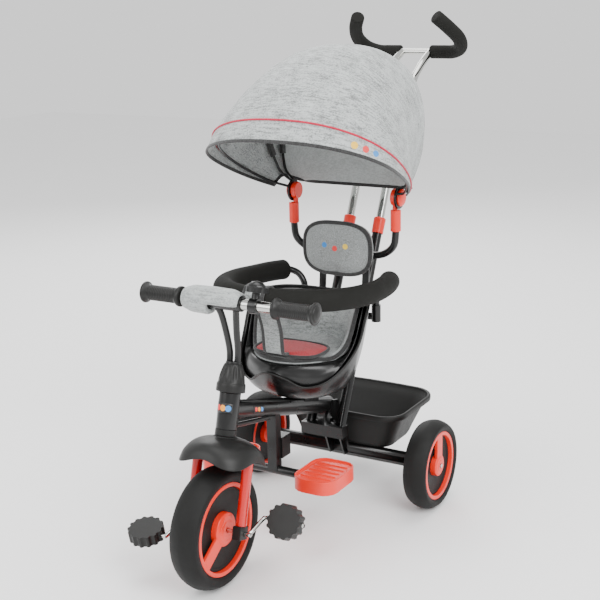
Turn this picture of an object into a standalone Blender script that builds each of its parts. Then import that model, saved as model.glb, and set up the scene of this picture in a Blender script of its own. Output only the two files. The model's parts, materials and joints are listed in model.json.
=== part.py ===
"""Children's push tricycle: a steel frame on three foam-tyred wheels, pedals on the
front wheel, a bucket seat with a padded safety bar, a fabric canopy on two tilting
hubs and a telescoping push handle with horn grips.

Metres, +Z up. The tricycle faces -Y and the child's left hand is at +X. The origin
is on the floor, under the middle of the whole object.
"""
import math

import bmesh
import bpy
import numpy as np
from mathutils import Matrix, Vector

# ---------------------------------------------------------------- driving sizes
GAP = 0.0003                     # room left between pieces that touch

FRONT_R = 0.1225                 # front wheel, 245 mm across
REAR_R = 0.0995                  # rear wheels, 199 mm across
WHEELBASE = 0.529
REAR_TRACK = 0.4416              # between the middles of the rear tyres
HANDLE_REACH = 0.943             # front axle to the rearmost point of the push handle
FRONT_AXLE_Y = (FRONT_R - HANDLE_REACH) / 2
RAKE = math.radians(15.4)        # lean of the steering axis

TYRE_HALF = 0.0306               # half the width of the front tyre
FRONT_RIM_R = 0.0926
REAR_TYRE_HALF = 0.0270
REAR_RIM_R = 0.0764
FRONT_HUB_R = 0.0335
REAR_HUB_R = 0.0240
SPOKE_WIDTH = 0.027

CRANK_R = 0.0041                 # bent steel wire
CRANK_THROW = 0.0505
CRANK_ANGLE = math.radians(23)   # how far the left crank stands above straight back
PEDAL_X = 0.132                  # middle of a pedal from the middle plane
PEDAL_R = 0.037

LEG_X = 0.0575                   # fork legs from the middle plane
LEG_R = 0.0105
HEAD_TUBE_R = 0.021
HEAD_LOW, HEAD_HIGH = 0.1925, 0.2640   # head tube along the steering axis from the axle
STEERER_R = 0.0125

BAR_H, BAR_Q = 0.437, -0.046     # handlebar along and behind the steering axis
BAR_R = 0.0105
BAR_HALF = 0.1925

BEAM_START = (0.073, 0.341)      # main beam ends, (behind the front axle, height)
BEAM_END = (0.462, 0.226)
BEAM_TALL, BEAM_WIDE = 0.038, 0.032

FOOT_Y, FOOT_Z = 0.226, 0.158    # footrest cross tube
FOOT_TUBE_R = 0.0095
FOOT_BORE_R = (FOOT_TUBE_R + GAP) / math.cos(math.pi / 12)   # corners of the pads' bore
FOOT_TUBE_HALF = 0.140
FOOT_PAD_X = 0.113
FOOT_PAD_BEHIND = 0.009          # middle of a pad behind the cross tube

AXLE_TUBE_HALF = 0.1915
AXLE_TUBE_TALL, AXLE_TUBE_WIDE = 0.034, 0.028
AXLE_R = 0.0048

SEAT_BASE_Z = 0.3010
POST_X = 0.038                   # push handle posts from the middle plane
POST_R = 0.0110
CHROME_R = 0.0090
COLLAR_R = 0.0140
HANDLE_LEAN = math.atan(0.467)
COLLAR_TOP = (0.650, 0.619)
CROSSBAR = (0.928, 0.978)
FOAM_R = 0.0158

SAFETY_TUBE_R = 0.0075
BASKET_RIM_Z, BASKET_FLOOR_Z = 0.200, 0.1169
CANOPY_HUB = (0.553, 0.690)      # axis on which the canopy tilts
CANOPY_HUB_X = 0.1250
BACK_POST_X = 0.054


def place(x, y, z):
    """World point from a point measured behind the front axle."""
    return Vector((x, FRONT_AXLE_Y + y, z))


# ---------------------------------------------------------------- scene set-up
for old in list(bpy.data.objects):
    bpy.data.objects.remove(old, do_unlink=True)

parts = bpy.data.collections.new("childrens_tricycle")
tools = bpy.data.collections.new("cutters")
bpy.context.scene.collection.children.link(parts)
bpy.context.scene.collection.children.link(tools)


def material(name, colour, roughness, metallic=0.0):
    """A Principled material."""
    made = bpy.data.materials.new(name)
    made.use_nodes = True
    shader = made.node_tree.nodes["Principled BSDF"]
    shader.inputs["Base Color"].default_value = (*colour, 1.0)
    shader.inputs["Roughness"].default_value = roughness
    shader.inputs["Metallic"].default_value = metallic
    made.diffuse_color = (*colour, 1.0)
    return made


BLACK_STEEL = material("black_steel", (0.018, 0.018, 0.017), 0.35, 0.3)
CHROME = material("chrome", (0.75, 0.75, 0.73), 0.12, 1.0)
ZINC = material("zinc", (0.55, 0.55, 0.56), 0.35, 1.0)
RED_STEEL = material("red_steel", (0.62, 0.012, 0.012), 0.3, 0.1)
RED_PLASTIC = material("red_plastic", (0.75, 0.045, 0.02), 0.35)
BLACK_PLASTIC = material("black_plastic", (0.03, 0.03, 0.029), 0.45)
GLOSS_PLASTIC = material("gloss_plastic", (0.012, 0.012, 0.012), 0.15)
TYRE_FOAM = material("tyre_foam", (0.03, 0.03, 0.029), 0.7)
GRIP_FOAM = material("grip_foam", (0.06, 0.06, 0.056), 0.9)
GREY_FABRIC = material("grey_fabric", (0.45, 0.46, 0.45), 0.95)
CRIMSON_FABRIC = material("crimson_fabric", (0.6, 0.01, 0.08), 0.9)


# ---------------------------------------------------------------- small helpers
def pivot(name, origin, turn=(0.0, 0.0, 0.0), parent=None):
    """An empty that marks a joint axis, and that its pieces hang from."""
    empty = bpy.data.objects.new(name, None)
    empty.empty_display_size = 0.03
    parts.objects.link(empty)
    empty.parent = parent
    empty.location = origin
    empty.rotation_euler = turn
    return empty


def add(name, mesh, skin=None, parent=None, cutter=False):
    """Link a mesh as one object of the model, or as a cutter."""
    made = bpy.data.objects.new(name, mesh)
    (tools if cutter else parts).objects.link(made)
    made.parent = parent
    if skin:
        mesh.materials.append(skin)
    if cutter:
        made.hide_render = True
        made.display_type = "WIRE"
    return made


def mesh_from(work):
    """A mesh from a bmesh, with its faces turned out."""
    bmesh.ops.recalc_face_normals(work, faces=work.faces)
    mesh = bpy.data.meshes.new("shape")
    work.to_mesh(mesh)
    work.free()
    return mesh


def smooth(made, degrees=40):
    made.data.shade_smooth()
    made.data.set_sharp_from_angle(angle=math.radians(degrees))
    return made


def box(size, centre=(0.0, 0.0, 0.0), turn=None):
    """A box mesh of the given size about its centre, turned about X first if asked."""
    work = bmesh.new()
    bmesh.ops.create_cube(work, size=1.0)
    bmesh.ops.scale(work, vec=size, verts=work.verts)
    if turn:
        bmesh.ops.rotate(work, matrix=Matrix.Rotation(turn, 3, "X"), verts=work.verts)
    bmesh.ops.translate(work, vec=centre, verts=work.verts)
    return mesh_from(work)


def rod(start, end, radius, sides=20, end_radius=None):
    """A straight round bar, or a cone frustum, between two points."""
    start, end = Vector(start), Vector(end)
    work = bmesh.new()
    bmesh.ops.create_cone(work, cap_ends=True, segments=sides, radius1=radius,
                          radius2=radius if end_radius is None else end_radius,
                          depth=(end - start).length)
    spin = Vector((0, 0, 1)).rotation_difference(end - start).to_matrix()
    bmesh.ops.rotate(work, matrix=spin, verts=work.verts)
    bmesh.ops.translate(work, vec=(start + end) / 2, verts=work.verts)
    return mesh_from(work)


def sampled(points, count):
    """Points spread evenly along the smooth curve through the given points."""
    ends = np.array([2 * np.array(points[0]) - points[1], *points,
                     2 * np.array(points[-1]) - points[-2]], dtype=float)
    fine = []
    for a, b, c, d in zip(ends, ends[1:], ends[2:], ends[3:]):
        t = np.linspace(0, 1, 24, endpoint=False)[:, None]
        fine.append(0.5 * (2 * b + (c - a) * t + (2 * a - 5 * b + 4 * c - d) * t ** 2
                           + (3 * b - a - 3 * c + d) * t ** 3))
    fine = np.vstack([*fine, ends[-2:-1]])
    run = np.concatenate([[0], np.cumsum(np.linalg.norm(np.diff(fine, axis=0), axis=1))])
    wanted = np.linspace(0, run[-1], count)
    return [tuple(np.interp(s, run, fine[:, k]) for k in range(3)) for s in wanted]


def tube(points, radius, bevel=3, count=None):
    """A round tube mesh along a smooth curve, its caps welded."""
    path = sampled(points, count) if count else points
    curve = bpy.data.curves.new("path", "CURVE")
    curve.dimensions = "3D"
    curve.bevel_depth = radius
    curve.bevel_resolution = bevel
    curve.use_fill_caps = True
    spline = curve.splines.new("POLY")
    spline.points.add(len(path) - 1)
    for point, place_at in zip(spline.points, path):
        point.co = (*place_at, 1.0)
    holder = bpy.data.objects.new("path", curve)
    bpy.context.scene.collection.objects.link(holder)
    bpy.context.view_layer.update()
    graph = bpy.context.evaluated_depsgraph_get()
    mesh = bpy.data.meshes.new_from_object(holder.evaluated_get(graph))
    bpy.data.objects.remove(holder)
    bpy.data.curves.remove(curve)
    work = bmesh.new()
    work.from_mesh(mesh)
    bmesh.ops.remove_doubles(work, verts=work.verts, dist=1e-6)
    bpy.data.meshes.remove(mesh)
    return mesh_from(work)


def turned(profile, steps=32, closed=False):
    """A turned mesh about local Z from a profile of (radius, height) points."""
    work = bmesh.new()
    verts = [work.verts.new((r, 0.0, h)) for r, h in profile]
    for a, b in zip(verts, verts[1:]):
        work.edges.new((a, b))
    if closed:
        work.edges.new((verts[-1], verts[0]))
    outline = bpy.data.meshes.new("profile")
    work.to_mesh(outline)
    work.free()
    holder = bpy.data.objects.new("profile", outline)
    bpy.context.scene.collection.objects.link(holder)
    screw = holder.modifiers.new("turn", "SCREW")
    screw.axis = "Z"
    screw.steps = screw.render_steps = steps
    screw.use_merge_vertices = True
    screw.merge_threshold = 0.00001
    screw.use_normal_calculate = True
    bpy.context.view_layer.update()
    graph = bpy.context.evaluated_depsgraph_get()
    mesh = bpy.data.meshes.new_from_object(holder.evaluated_get(graph))
    bpy.data.objects.remove(holder)
    work = bmesh.new()
    work.from_mesh(mesh)
    bmesh.ops.remove_doubles(work, verts=work.verts, dist=1e-6)
    bpy.data.meshes.remove(mesh)
    return mesh_from(work)


def moved(mesh, matrix):
    """The mesh, carried by a matrix."""
    mesh.transform(matrix)
    if matrix.determinant() < 0:
        mesh.flip_normals()
    return mesh


def along_x(mesh, centre=(0.0, 0.0, 0.0), side=1):
    """A shape turned about Z, laid with its axis along X, facing the given side."""
    return moved(mesh, Matrix.Translation(centre) @ Matrix.Rotation(side * math.pi / 2, 4, "Y"))


def combine(name, meshes, operation="UNION"):
    """One mesh from several, by exact Booleans in turn."""
    base = bpy.data.objects.new(name, meshes[0])
    bpy.context.scene.collection.objects.link(base)
    helpers = []
    for mesh in meshes[1:]:
        helper = bpy.data.objects.new(name + "_tool", mesh)
        bpy.context.scene.collection.objects.link(helper)
        step = base.modifiers.new("join", "BOOLEAN")
        step.operation = operation
        step.solver = "EXACT"
        step.object = helper
        helpers.append(helper)
    bpy.context.view_layer.update()
    graph = bpy.context.evaluated_depsgraph_get()
    mesh = bpy.data.meshes.new_from_object(base.evaluated_get(graph))
    for helper in [base, *helpers]:
        bpy.data.objects.remove(helper)
    work = bmesh.new()
    work.from_mesh(mesh)
    bmesh.ops.remove_doubles(work, verts=work.verts, dist=2e-7)
    bmesh.ops.dissolve_degenerate(work, edges=work.edges, dist=2e-7)
    work.to_mesh(mesh)
    work.free()
    return mesh


def union(name, *meshes):
    return combine(name, list(meshes), "UNION")


def cut(name, *meshes):
    """The first mesh with the others cut out of it."""
    return combine(name, list(meshes), "DIFFERENCE")


def slab(outline, thickness, centre_z=0.0):
    """A flat plate from an outline of (x, y) points."""
    curve = bpy.data.curves.new("outline", "CURVE")
    curve.dimensions = "2D"
    curve.fill_mode = "BOTH"
    curve.extrude = thickness / 2
    spline = curve.splines.new("POLY")
    spline.points.add(len(outline) - 1)
    for point, (x, y) in zip(spline.points, outline):
        point.co = (x, y, 0.0, 1.0)
    spline.use_cyclic_u = True
    holder = bpy.data.objects.new("outline", curve)
    bpy.context.scene.collection.objects.link(holder)
    bpy.context.view_layer.update()
    graph = bpy.context.evaluated_depsgraph_get()
    mesh = bpy.data.meshes.new_from_object(holder.evaluated_get(graph))
    bpy.data.objects.remove(holder)
    work = bmesh.new()
    work.from_mesh(mesh)
    bmesh.ops.remove_doubles(work, verts=work.verts, dist=1e-6)
    bmesh.ops.translate(work, vec=(0.0, 0.0, centre_z), verts=work.verts)
    return mesh_from(work)


def loft(rings, caps=(True, True), looped=False):
    """A skin through rings of equally many points, capped at its ends or looped round."""
    work = bmesh.new()
    rows = [[work.verts.new(p) for p in ring] for ring in rings]
    if looped:
        rows.append(rows[0])
    count = len(rows[0])
    for low, high in zip(rows, rows[1:]):
        for k in range(count):
            n = (k + 1) % count
            work.faces.new((low[k], low[n], high[n], high[k]))
    if not looped:
        for row, capped in ((rows[0], caps[0]), (rows[-1], caps[1])):
            if capped:
                work.faces.new(row)
    return mesh_from(work)


def thickened(mesh, thickness, offset, even=True):
    """A closed shell from an open surface; offset 1 grows it outwards, -1 inwards."""
    holder = bpy.data.objects.new("shell", mesh)
    bpy.context.scene.collection.objects.link(holder)
    solid = holder.modifiers.new("wall", "SOLIDIFY")
    solid.thickness = thickness
    solid.offset = offset
    solid.use_rim = True
    solid.use_even_offset = even
    bpy.context.view_layer.update()
    graph = bpy.context.evaluated_depsgraph_get()
    made = bpy.data.meshes.new_from_object(holder.evaluated_get(graph))
    bpy.data.objects.remove(holder)
    return made


def arc(centre, radius, start, end, steps):
    """Points (x, y) on an arc, angles in degrees."""
    return [(centre[0] + radius * math.cos(math.radians(a)),
             centre[1] + radius * math.sin(math.radians(a)))
            for a in np.linspace(start, end, steps)]


def rounded_rect(half_x, half_y, radius, steps=4):
    """Outline points of a rectangle with round corners."""
    corners = []
    for sx, sy, start in ((1, 1, 0), (-1, 1, 90), (-1, -1, 180), (1, -1, 270)):
        centre = (sx * (half_x - radius), sy * (half_y - radius))
        corners += arc(centre, radius, start, start + 90, steps)
    return corners


def oval_bar(start, end, tall, wide, sides=16):
    """A bar of oval section in the middle plane, between (y, z) ends in world space."""
    start, end = Vector((0, *start)), Vector((0, *end))
    along = (end - start).normalized()
    lift = Vector((0, -along.z, along.y))
    rings = []
    for base in (start, end):
        rings.append([base + Vector((math.cos(a) * wide / 2, 0, 0)) + lift * math.sin(a) * tall / 2
                      for a in np.linspace(0, 2 * math.pi, sides, endpoint=False)])
    return loft(rings)


# ---------------------------------------------------------------- wheels
def tyre_profile(radius, seat, half, points=9):
    """A rounded tyre section: flat sides low down, a full round crown."""
    crown = [(seat + 0.35 * (radius - seat), half)]
    for a in np.linspace(68, -68, points - 4):
        t = math.radians(a)
        crown.append((radius - 0.62 * (radius - seat) * (1 - math.cos(t)) ** 0.8,
                      half * math.sin(t) / math.sin(math.radians(74))))
    crown.append((crown[0][0], -half))
    return [(seat, half * 0.86), *crown, (seat, -half * 0.86)]


def make_wheel(name, parent, radius, rim_r, half, hub_r, hub_half, bore, spoke_turns,
               steps, side=1):
    """Tyre, red rim with hub and single spokes, and the black disc between them."""
    tyre = along_x(turned(tyre_profile(radius, rim_r + GAP, half), steps, closed=True), side=side)
    smooth(add(name + "_tyre", tyre, TYRE_FOAM, parent), 60)

    ring_half = half * 0.87
    ring_in = rim_r - 0.0085
    ring = turned([(rim_r, ring_half), (rim_r, -ring_half), (ring_in, -ring_half),
                   (ring_in, ring_half)], steps, closed=True)
    hub = turned([(bore, hub_half), (hub_r - 0.003, hub_half), (hub_r, hub_half - 0.003),
                  (hub_r, -hub_half + 0.003), (hub_r - 0.003, -hub_half),
                  (bore, -hub_half)], 16, closed=True)
    pieces = [ring, hub]
    spoke_long = rim_r - 0.004 - hub_r * 0.6
    for face, turn in spoke_turns:
        spoke = box((spoke_long, SPOKE_WIDTH, 0.0080),
                    (hub_r * 0.6 + spoke_long / 2, 0, face * (ring_half - 0.0045)))
        pieces.append(moved(spoke, Matrix.Rotation(turn, 4, "Z")))
    rim = along_x(union(name + "_rim", *pieces), side=side)
    smooth(add(name + "_rim", rim, RED_PLASTIC, parent), 35)

    disc_half = ring_half - 0.0090
    disc = turned([(ring_in - GAP, disc_half), (ring_in - GAP, -disc_half),
                   (hub_r + GAP, -disc_half + 0.004), (hub_r + GAP, disc_half - 0.004)],
                  steps, closed=True)
    smooth(add(name + "_disc", along_x(disc, side=side), BLACK_PLASTIC, parent), 40)


front_axle = pivot("front_axle", place(0, 0, FRONT_R))
spoke_down = math.radians(-56)
make_wheel("front", front_axle, FRONT_R, FRONT_RIM_R, TYRE_HALF, FRONT_HUB_R, 0.0290,
           CRANK_R + GAP, ((1, spoke_down), (-1, spoke_down)), 32)

rear_axles = {}
for side, word in ((1, "left"), (-1, "right")):
    rear_axles[word] = pivot("rear_axle_" + word,
                             place(side * REAR_TRACK / 2, WHEELBASE, REAR_R))
    spoke_up = math.pi if side > 0 else 0.0
    make_wheel("rear_" + word, rear_axles[word], REAR_R, REAR_RIM_R, REAR_TYRE_HALF,
               REAR_HUB_R, 0.0255, AXLE_R + GAP, ((1, spoke_up), (-1, spoke_up)), 28, side)


# ---------------------------------------------------------------- crank and pedals
def crank_point(sign):
    """Where a pedal spindle stands from the front axle, (y, z)."""
    return (sign * CRANK_THROW * math.cos(CRANK_ANGLE), sign * CRANK_THROW * math.sin(CRANK_ANGLE))


def crank_half(sign):
    """Half of the bent crank, from the middle of the axle out to the spindle's end."""
    y, z = crank_point(sign)
    return [(sign * 0.070, 0, 0), (sign * 0.075, 0.06 * y, 0.06 * z),
            (sign * 0.079, 0.25 * y, 0.25 * z), (sign * 0.083, 0.75 * y, 0.75 * z),
            (sign * 0.086, 0.94 * y, 0.94 * z), (sign * 0.092, y, z), (sign * 0.1695, y, z)]


crank_path = [*reversed(crank_half(-1)), *crank_half(1)]
smooth(add("crank", tube(crank_path, CRANK_R, bevel=2), CHROME, front_axle), 50)


def make_pedal(word, sign, tilt):
    """A round treaded pedal that turns on the crank's spindle."""
    y, z = crank_point(sign)
    holder = pivot("pedal_spindle_" + word, (sign * PEDAL_X, y, z), parent=front_axle)
    teeth = 14
    outline = []
    for k in range(teeth * 2):
        angle = 2 * math.pi * k / (teeth * 2)
        reach = PEDAL_R if k % 2 == 0 else PEDAL_R - 0.0035
        for step in (-0.26, 0.26):
            a = angle + step * math.pi / teeth
            outline.append((reach * math.cos(a), reach * 0.94 * math.sin(a)))
    plate = slab(outline, 0.023)
    bore = rod((-0.1, 0, 0), (0.1, 0, 0), CRANK_R + GAP, 16)
    pedal = moved(cut("pedal", plate, bore), Matrix.Rotation(tilt, 4, "X"))
    add("pedal_" + word, pedal, BLACK_PLASTIC, holder)


make_pedal("left", 1, math.radians(62))
make_pedal("right", -1, math.radians(14))

# ---------------------------------------------------------------- steering assembly
steering = pivot("steering_axis", place(0, 0, FRONT_R), turn=(-RAKE, 0, 0))
STEER = steering.matrix_basis.copy()


def steer_place(x, q, h):
    """World point from steering coordinates: across, behind the axis, along it."""
    return STEER @ Vector((x, q, h))


LEG_TOP = 0.1405
CROWN_H = 0.1560
shoulder = [(LEG_X, 0, 0.0145), (LEG_X, 0, 0.1300), (LEG_X, 0, LEG_TOP),
            (LEG_X - 0.0045, 0, 0.1500), (LEG_X - 0.0140, 0, 0.1550), (LEG_X - 0.0280, 0, CROWN_H)]
bend = sampled(shoulder[2:], 5)
fork_half = [shoulder[0], *bend]
fork_path = [*fork_half, *reversed([(-x, y, z) for x, y, z in fork_half])]
fork = union("fork", tube(fork_path, LEG_R, 2),
             rod((0, 0, CROWN_H - 0.004), (0, 0, 0.3100), STEERER_R, 20))
smooth(add("fork", fork, RED_STEEL, steering), 45)
for side, word in ((1, "left"), (-1, "right")):
    block = box((0.019, 0.027, 0.026), (side * LEG_X, -0.001, 0.0010))
    axle_hole = rod((side * (LEG_X - 0.05), 0, 0), (side * (LEG_X + 0.05), 0, 0),
                    CRANK_R + GAP, 16)
    smooth(add("fork_end_" + word, cut("block", block, axle_hole), BLACK_PLASTIC, steering), 40)


def cover_ring(h, radius, lobe, droop, count=24):
    """A four-lobed ring of the fork cover; the lobes point between the legs."""
    ring = []
    for a in np.linspace(0, 2 * math.pi, count, endpoint=False):
        wave = 0.5 - 0.5 * math.cos(4 * a)
        reach = radius + lobe * wave
        ring.append((reach * math.cos(a), reach * math.sin(a), h - droop * wave))
    return ring


cover_rings = [cover_ring(0.1790, 0.0215, 0.0, 0.0), cover_ring(0.1765, 0.0250, 0.001, 0.0),
               cover_ring(0.1735, 0.0420, 0.003, 0.002), cover_ring(0.1660, 0.0600, 0.005, 0.005),
               cover_ring(0.1540, 0.0710, 0.008, 0.009), cover_ring(0.1400, 0.0750, 0.010, 0.013),
               cover_ring(0.1400, 0.0728, 0.010, 0.013), cover_ring(0.1535, 0.0690, 0.008, 0.009),
               cover_ring(0.1640, 0.0590, 0.005, 0.005), cover_ring(0.1712, 0.0410, 0.003, 0.002),
               cover_ring(0.1740, 0.0130, 0.0, 0.0), cover_ring(0.1790, 0.0130, 0.0, 0.0)]
smooth(add("fork_cover", loft(cover_rings, looped=True), BLACK_PLASTIC, steering), 40)

# stem: two tubes that spread as they rise, on a short sleeve round the steerer
stem_parts = [turned([(STEERER_R + GAP, 0.3180), (0.0155, 0.3180), (0.0155, 0.2920),
                      (STEERER_R + GAP, 0.2920)], 16, closed=True),
              rod((0, 0, 0.3165), (0, 0, 0.3240), 0.0151, 16)]
for side in (1, -1):
    stem_parts.append(tube([(side * 0.0085, 0.0, 0.3200), (side * 0.0095, -0.004, 0.3450),
                            (side * 0.0120, -0.020, 0.3800), (side * 0.0165, -0.036, 0.4120),
                            (side * 0.0205, BAR_Q, BAR_H - 0.0110)], 0.0065, bevel=1, count=6))
saddle = rod((-0.034, BAR_Q, BAR_H), (0.034, BAR_Q, BAR_H), 0.0145, 18)
saddle_bore = rod((-0.05, BAR_Q, BAR_H), (0.05, BAR_Q, BAR_H), BAR_R + GAP, 18)
stem = cut("stem", union("stem", *stem_parts, saddle), saddle_bore)
smooth(add("stem", stem, BLACK_STEEL, steering), 45)

boot = turned([(0.0170, 0.3190), (0.0190, 0.3120), (0.0222, 0.3000), (0.0265, 0.2800),
               (0.0285, 0.2705), (0.0285, 0.2655), (0.0262, 0.2655), (0.0262, 0.2710),
               (0.0200, 0.2960), (0.0158, 0.3110), (0.0158, 0.3190)], 20, closed=True)
smooth(add("stem_boot", boot, BLACK_PLASTIC, steering), 45)

handlebar = rod((-BAR_HALF + 0.004, BAR_Q, BAR_H), (BAR_HALF - 0.004, BAR_Q, BAR_H), BAR_R, 20)
smooth(add("handlebar", handlebar, CHROME, steering), 50)

for side, word in ((1, "left"), (-1, "right")):
    bore = BAR_R + GAP
    grip = turned([(0.0, 0.0950), (0.0190, 0.0945), (0.0215, 0.0920), (0.0215, 0.0880),
                   (0.0150, 0.0810), (0.0145, 0.0160), (0.0205, 0.0100), (0.0205, 0.0040),
                   (0.0150, 0.0010), (bore, 0.0010),
                   (bore, 0.0915), (0.0, 0.0915)], 18)
    laid = along_x(grip, (side * (BAR_HALF - 0.0910), BAR_Q, BAR_H), side)
    smooth(add("grip_" + word, laid, BLACK_PLASTIC, steering), 40)

SLEEVE_FROM, SLEEVE_TO = -0.0990, 0.0350
sleeve_half = (SLEEVE_TO - SLEEVE_FROM) / 2
pad = turned([(0.0165, sleeve_half), (0.0215, sleeve_half - 0.004), (0.0235, sleeve_half - 0.012),
              (0.0270, sleeve_half - 0.022), (0.0280, 0.0), (0.0270, -sleeve_half + 0.022),
              (0.0235, -sleeve_half + 0.012), (0.0215, -sleeve_half + 0.004),
              (0.0165, -sleeve_half)], 14, closed=True)
pad = along_x(pad, ((SLEEVE_FROM + SLEEVE_TO) / 2, BAR_Q, BAR_H))
stem_way = box((0.0720, 0.0700, 0.0500), (0, BAR_Q + 0.006, BAR_H - 0.0330))
smooth(add("bar_sleeve", cut("sleeve", pad, stem_way), GREY_FABRIC, steering), 45)

BELL_X = 0.0610
bell_ring = turned([(BAR_R + GAP, 0.0085), (0.0150, 0.0085), (0.0150, -0.0085),
                    (BAR_R + GAP, -0.0085)], 20, closed=True)
bell_ring = along_x(bell_ring, (BELL_X, BAR_Q, BAR_H))
bell_neck = rod((BELL_X, BAR_Q, BAR_H + 0.0125), (BELL_X, BAR_Q, BAR_H + 0.0250), 0.0080, 16)
smooth(add("bell_base", union("bell_base", bell_ring, bell_neck), BLACK_PLASTIC, steering), 45)

bell_axis = pivot("bell_axis", (BELL_X, BAR_Q, BAR_H + 0.0253), parent=steering)
bell_outline = []
for k in range(30):
    a = 2 * math.pi * k / 30
    reach = 0.0225 + 0.0016 * math.cos(10 * a)
    bell_outline.append((reach * math.cos(a), reach * math.sin(a)))
bell_dome = turned([(0.0, 0.0225), (0.0100, 0.0205), (0.0165, 0.0150), (0.0180, 0.0110),
                    (0.0180, 0.0100), (0.0, 0.0100)], 16)
bell = union("bell", slab(bell_outline, 0.0105, 0.00555), bell_dome)
smooth(add("bell_dial", bell, BLACK_PLASTIC, bell_axis), 40)

# ---------------------------------------------------------------- frame
def beam_height(y):
    """Height of the beam's middle line at a distance behind the front axle."""
    (y0, z0), (y1, z1) = BEAM_START, BEAM_END
    return z0 + (z1 - z0) * (y - y0) / (y1 - y0)


head_tube = turned([(HEAD_TUBE_R - 0.002, HEAD_HIGH), (HEAD_TUBE_R, HEAD_HIGH - 0.002),
                    (HEAD_TUBE_R, HEAD_LOW + 0.002), (HEAD_TUBE_R - 0.002, HEAD_LOW),
                    (0.0180, HEAD_LOW), (0.0180, HEAD_HIGH)], 20, closed=True)
head_tube.transform(STEER)
smooth(add("head_tube", head_tube, BLACK_STEEL), 45)

bushes = {"lower": [(0.0215, HEAD_LOW - GAP), (0.0215, 0.1800), (STEERER_R + GAP, 0.1800),
                    (STEERER_R + GAP, HEAD_LOW + 0.012), (0.0180 - GAP, HEAD_LOW + 0.012),
                    (0.0180 - GAP, HEAD_LOW - GAP)],
          "upper": [(0.0180 - GAP, HEAD_HIGH), (0.0180 - GAP, HEAD_HIGH - 0.012),
                    (STEERER_R + GAP, HEAD_HIGH - 0.012), (STEERER_R + GAP, HEAD_HIGH)]}
for word, profile in bushes.items():
    bush = turned(profile, 18, closed=True)
    bush.transform(STEER)
    smooth(add("head_bush_" + word, bush, BLACK_PLASTIC), 45)


def world_yz(point):
    return (FRONT_AXLE_Y + point[0], point[1])


head_clear = turned([(0.0, 0.40), (HEAD_TUBE_R + GAP, 0.40), (HEAD_TUBE_R + GAP, 0.10),
                     (0.0, 0.10)], 28)
head_clear.transform(STEER)
beam_clear = oval_bar(world_yz(BEAM_START), world_yz(BEAM_END), BEAM_TALL + 2 * GAP,
                      BEAM_WIDE + 2 * GAP)
seat_mount = box((0.070, 0.110, 0.006), place(0, 0.365, SEAT_BASE_Z - GAP - 0.003))
mount_leg = box((0.026, 0.060, 0.044), place(0, 0.365, 0.2740))
beam = cut("beam", union("beam", oval_bar(world_yz(BEAM_START), world_yz(BEAM_END),
                                          BEAM_TALL, BEAM_WIDE), mount_leg, seat_mount),
           head_clear)
smooth(add("main_beam", beam, BLACK_STEEL), 40)

stay = tube([place(0, 0.055, 0.3110), place(0, 0.100, 0.3010), place(0, 0.205, 0.2790)],
            0.0050, bevel=3, count=4)
smooth(add("lower_stay", cut("stay", stay, head_clear, beam_clear), BLACK_STEEL), 50)

# footrest bracket: a post under the beam and a cross tube
post_top = beam_height(FOOT_Y) - 0.010
post = box((0.022, 0.020, post_top - FOOT_Z), place(0, FOOT_Y, (post_top + FOOT_Z) / 2))
cross = rod(place(-FOOT_TUBE_HALF, FOOT_Y, FOOT_Z), place(FOOT_TUBE_HALF, FOOT_Y, FOOT_Z),
            FOOT_TUBE_R, 12)
lug = box((0.030, 0.034, 0.046), place(0, FOOT_Y + 0.024, 0.205))
bracket = cut("bracket", union("bracket", post, cross, lug), beam_clear)
smooth(add("footrest_bracket", bracket, BLACK_STEEL), 40)

for side, word in ((1, "left"), (-1, "right")):
    hinge = pivot("footrest_hinge_" + word, place(0, FOOT_Y, FOOT_Z))
    outline = [(side * FOOT_PAD_X + x, FOOT_PAD_BEHIND + y)
               for x, y in rounded_rect(0.0475, 0.062, 0.030, 5)]
    inner = [(side * FOOT_PAD_X + x, FOOT_PAD_BEHIND + y)
             for x, y in rounded_rect(0.0440, 0.0585, 0.0265, 5)]
    tray = cut("tray", slab(outline, 0.0290, 0.0020), slab(inner, 0.0100, 0.0175),
               rod((0, 0, 0), (side * (FOOT_TUBE_HALF + 2 * GAP), 0, 0), FOOT_BORE_R, 12))
    ribs = [box((0.070, 0.0022, 0.0030), (side * FOOT_PAD_X, FOOT_PAD_BEHIND + k * 0.0180, 0.0135))
            for k in (-2, -1, 0, 1, 2)]
    smooth(add("footrest_" + word, union("tray", tray, *ribs), RED_PLASTIC, hinge), 40)

# rear axle housing with the two plates that carry the beam's end
housing = along_x(turned([(0.0, AXLE_TUBE_HALF), (0.5, AXLE_TUBE_HALF), (0.5, -AXLE_TUBE_HALF),
                          (0.0, -AXLE_TUBE_HALF)], 20))
housing.transform(Matrix.Diagonal((1, AXLE_TUBE_WIDE, AXLE_TUBE_TALL, 1)))
housing.transform(Matrix.Translation(place(0, WHEELBASE, REAR_R)))
plates = []
for side in (1, -1):
    outline = [(0.500, 0.094), (0.522, 0.094), (0.522, 0.112), (0.484, 0.205), (0.472, 0.238),
               (0.447, 0.244), (0.436, 0.218), (0.462, 0.180)]
    plate = slab([(FRONT_AXLE_Y + y, z) for y, z in outline], 0.004)
    stand = Matrix(((0, 0, 1, side * (BEAM_WIDE / 2 + GAP + 0.002)), (1, 0, 0, 0), (0, 1, 0, 0),
                    (0, 0, 0, 1)))
    plates.append(moved(plate, stand))
axle_way = rod(place(-0.3, WHEELBASE, REAR_R), place(0.3, WHEELBASE, REAR_R), AXLE_R + GAP, 16)
tie = box((BEAM_WIDE + 0.007, 0.010, 0.030), place(0, 0.4780, 0.1750))
rear_frame = cut("rear", union("rear", housing, *plates, tie), axle_way)
smooth(add("rear_axle_frame", rear_frame, BLACK_STEEL), 40)

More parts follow.
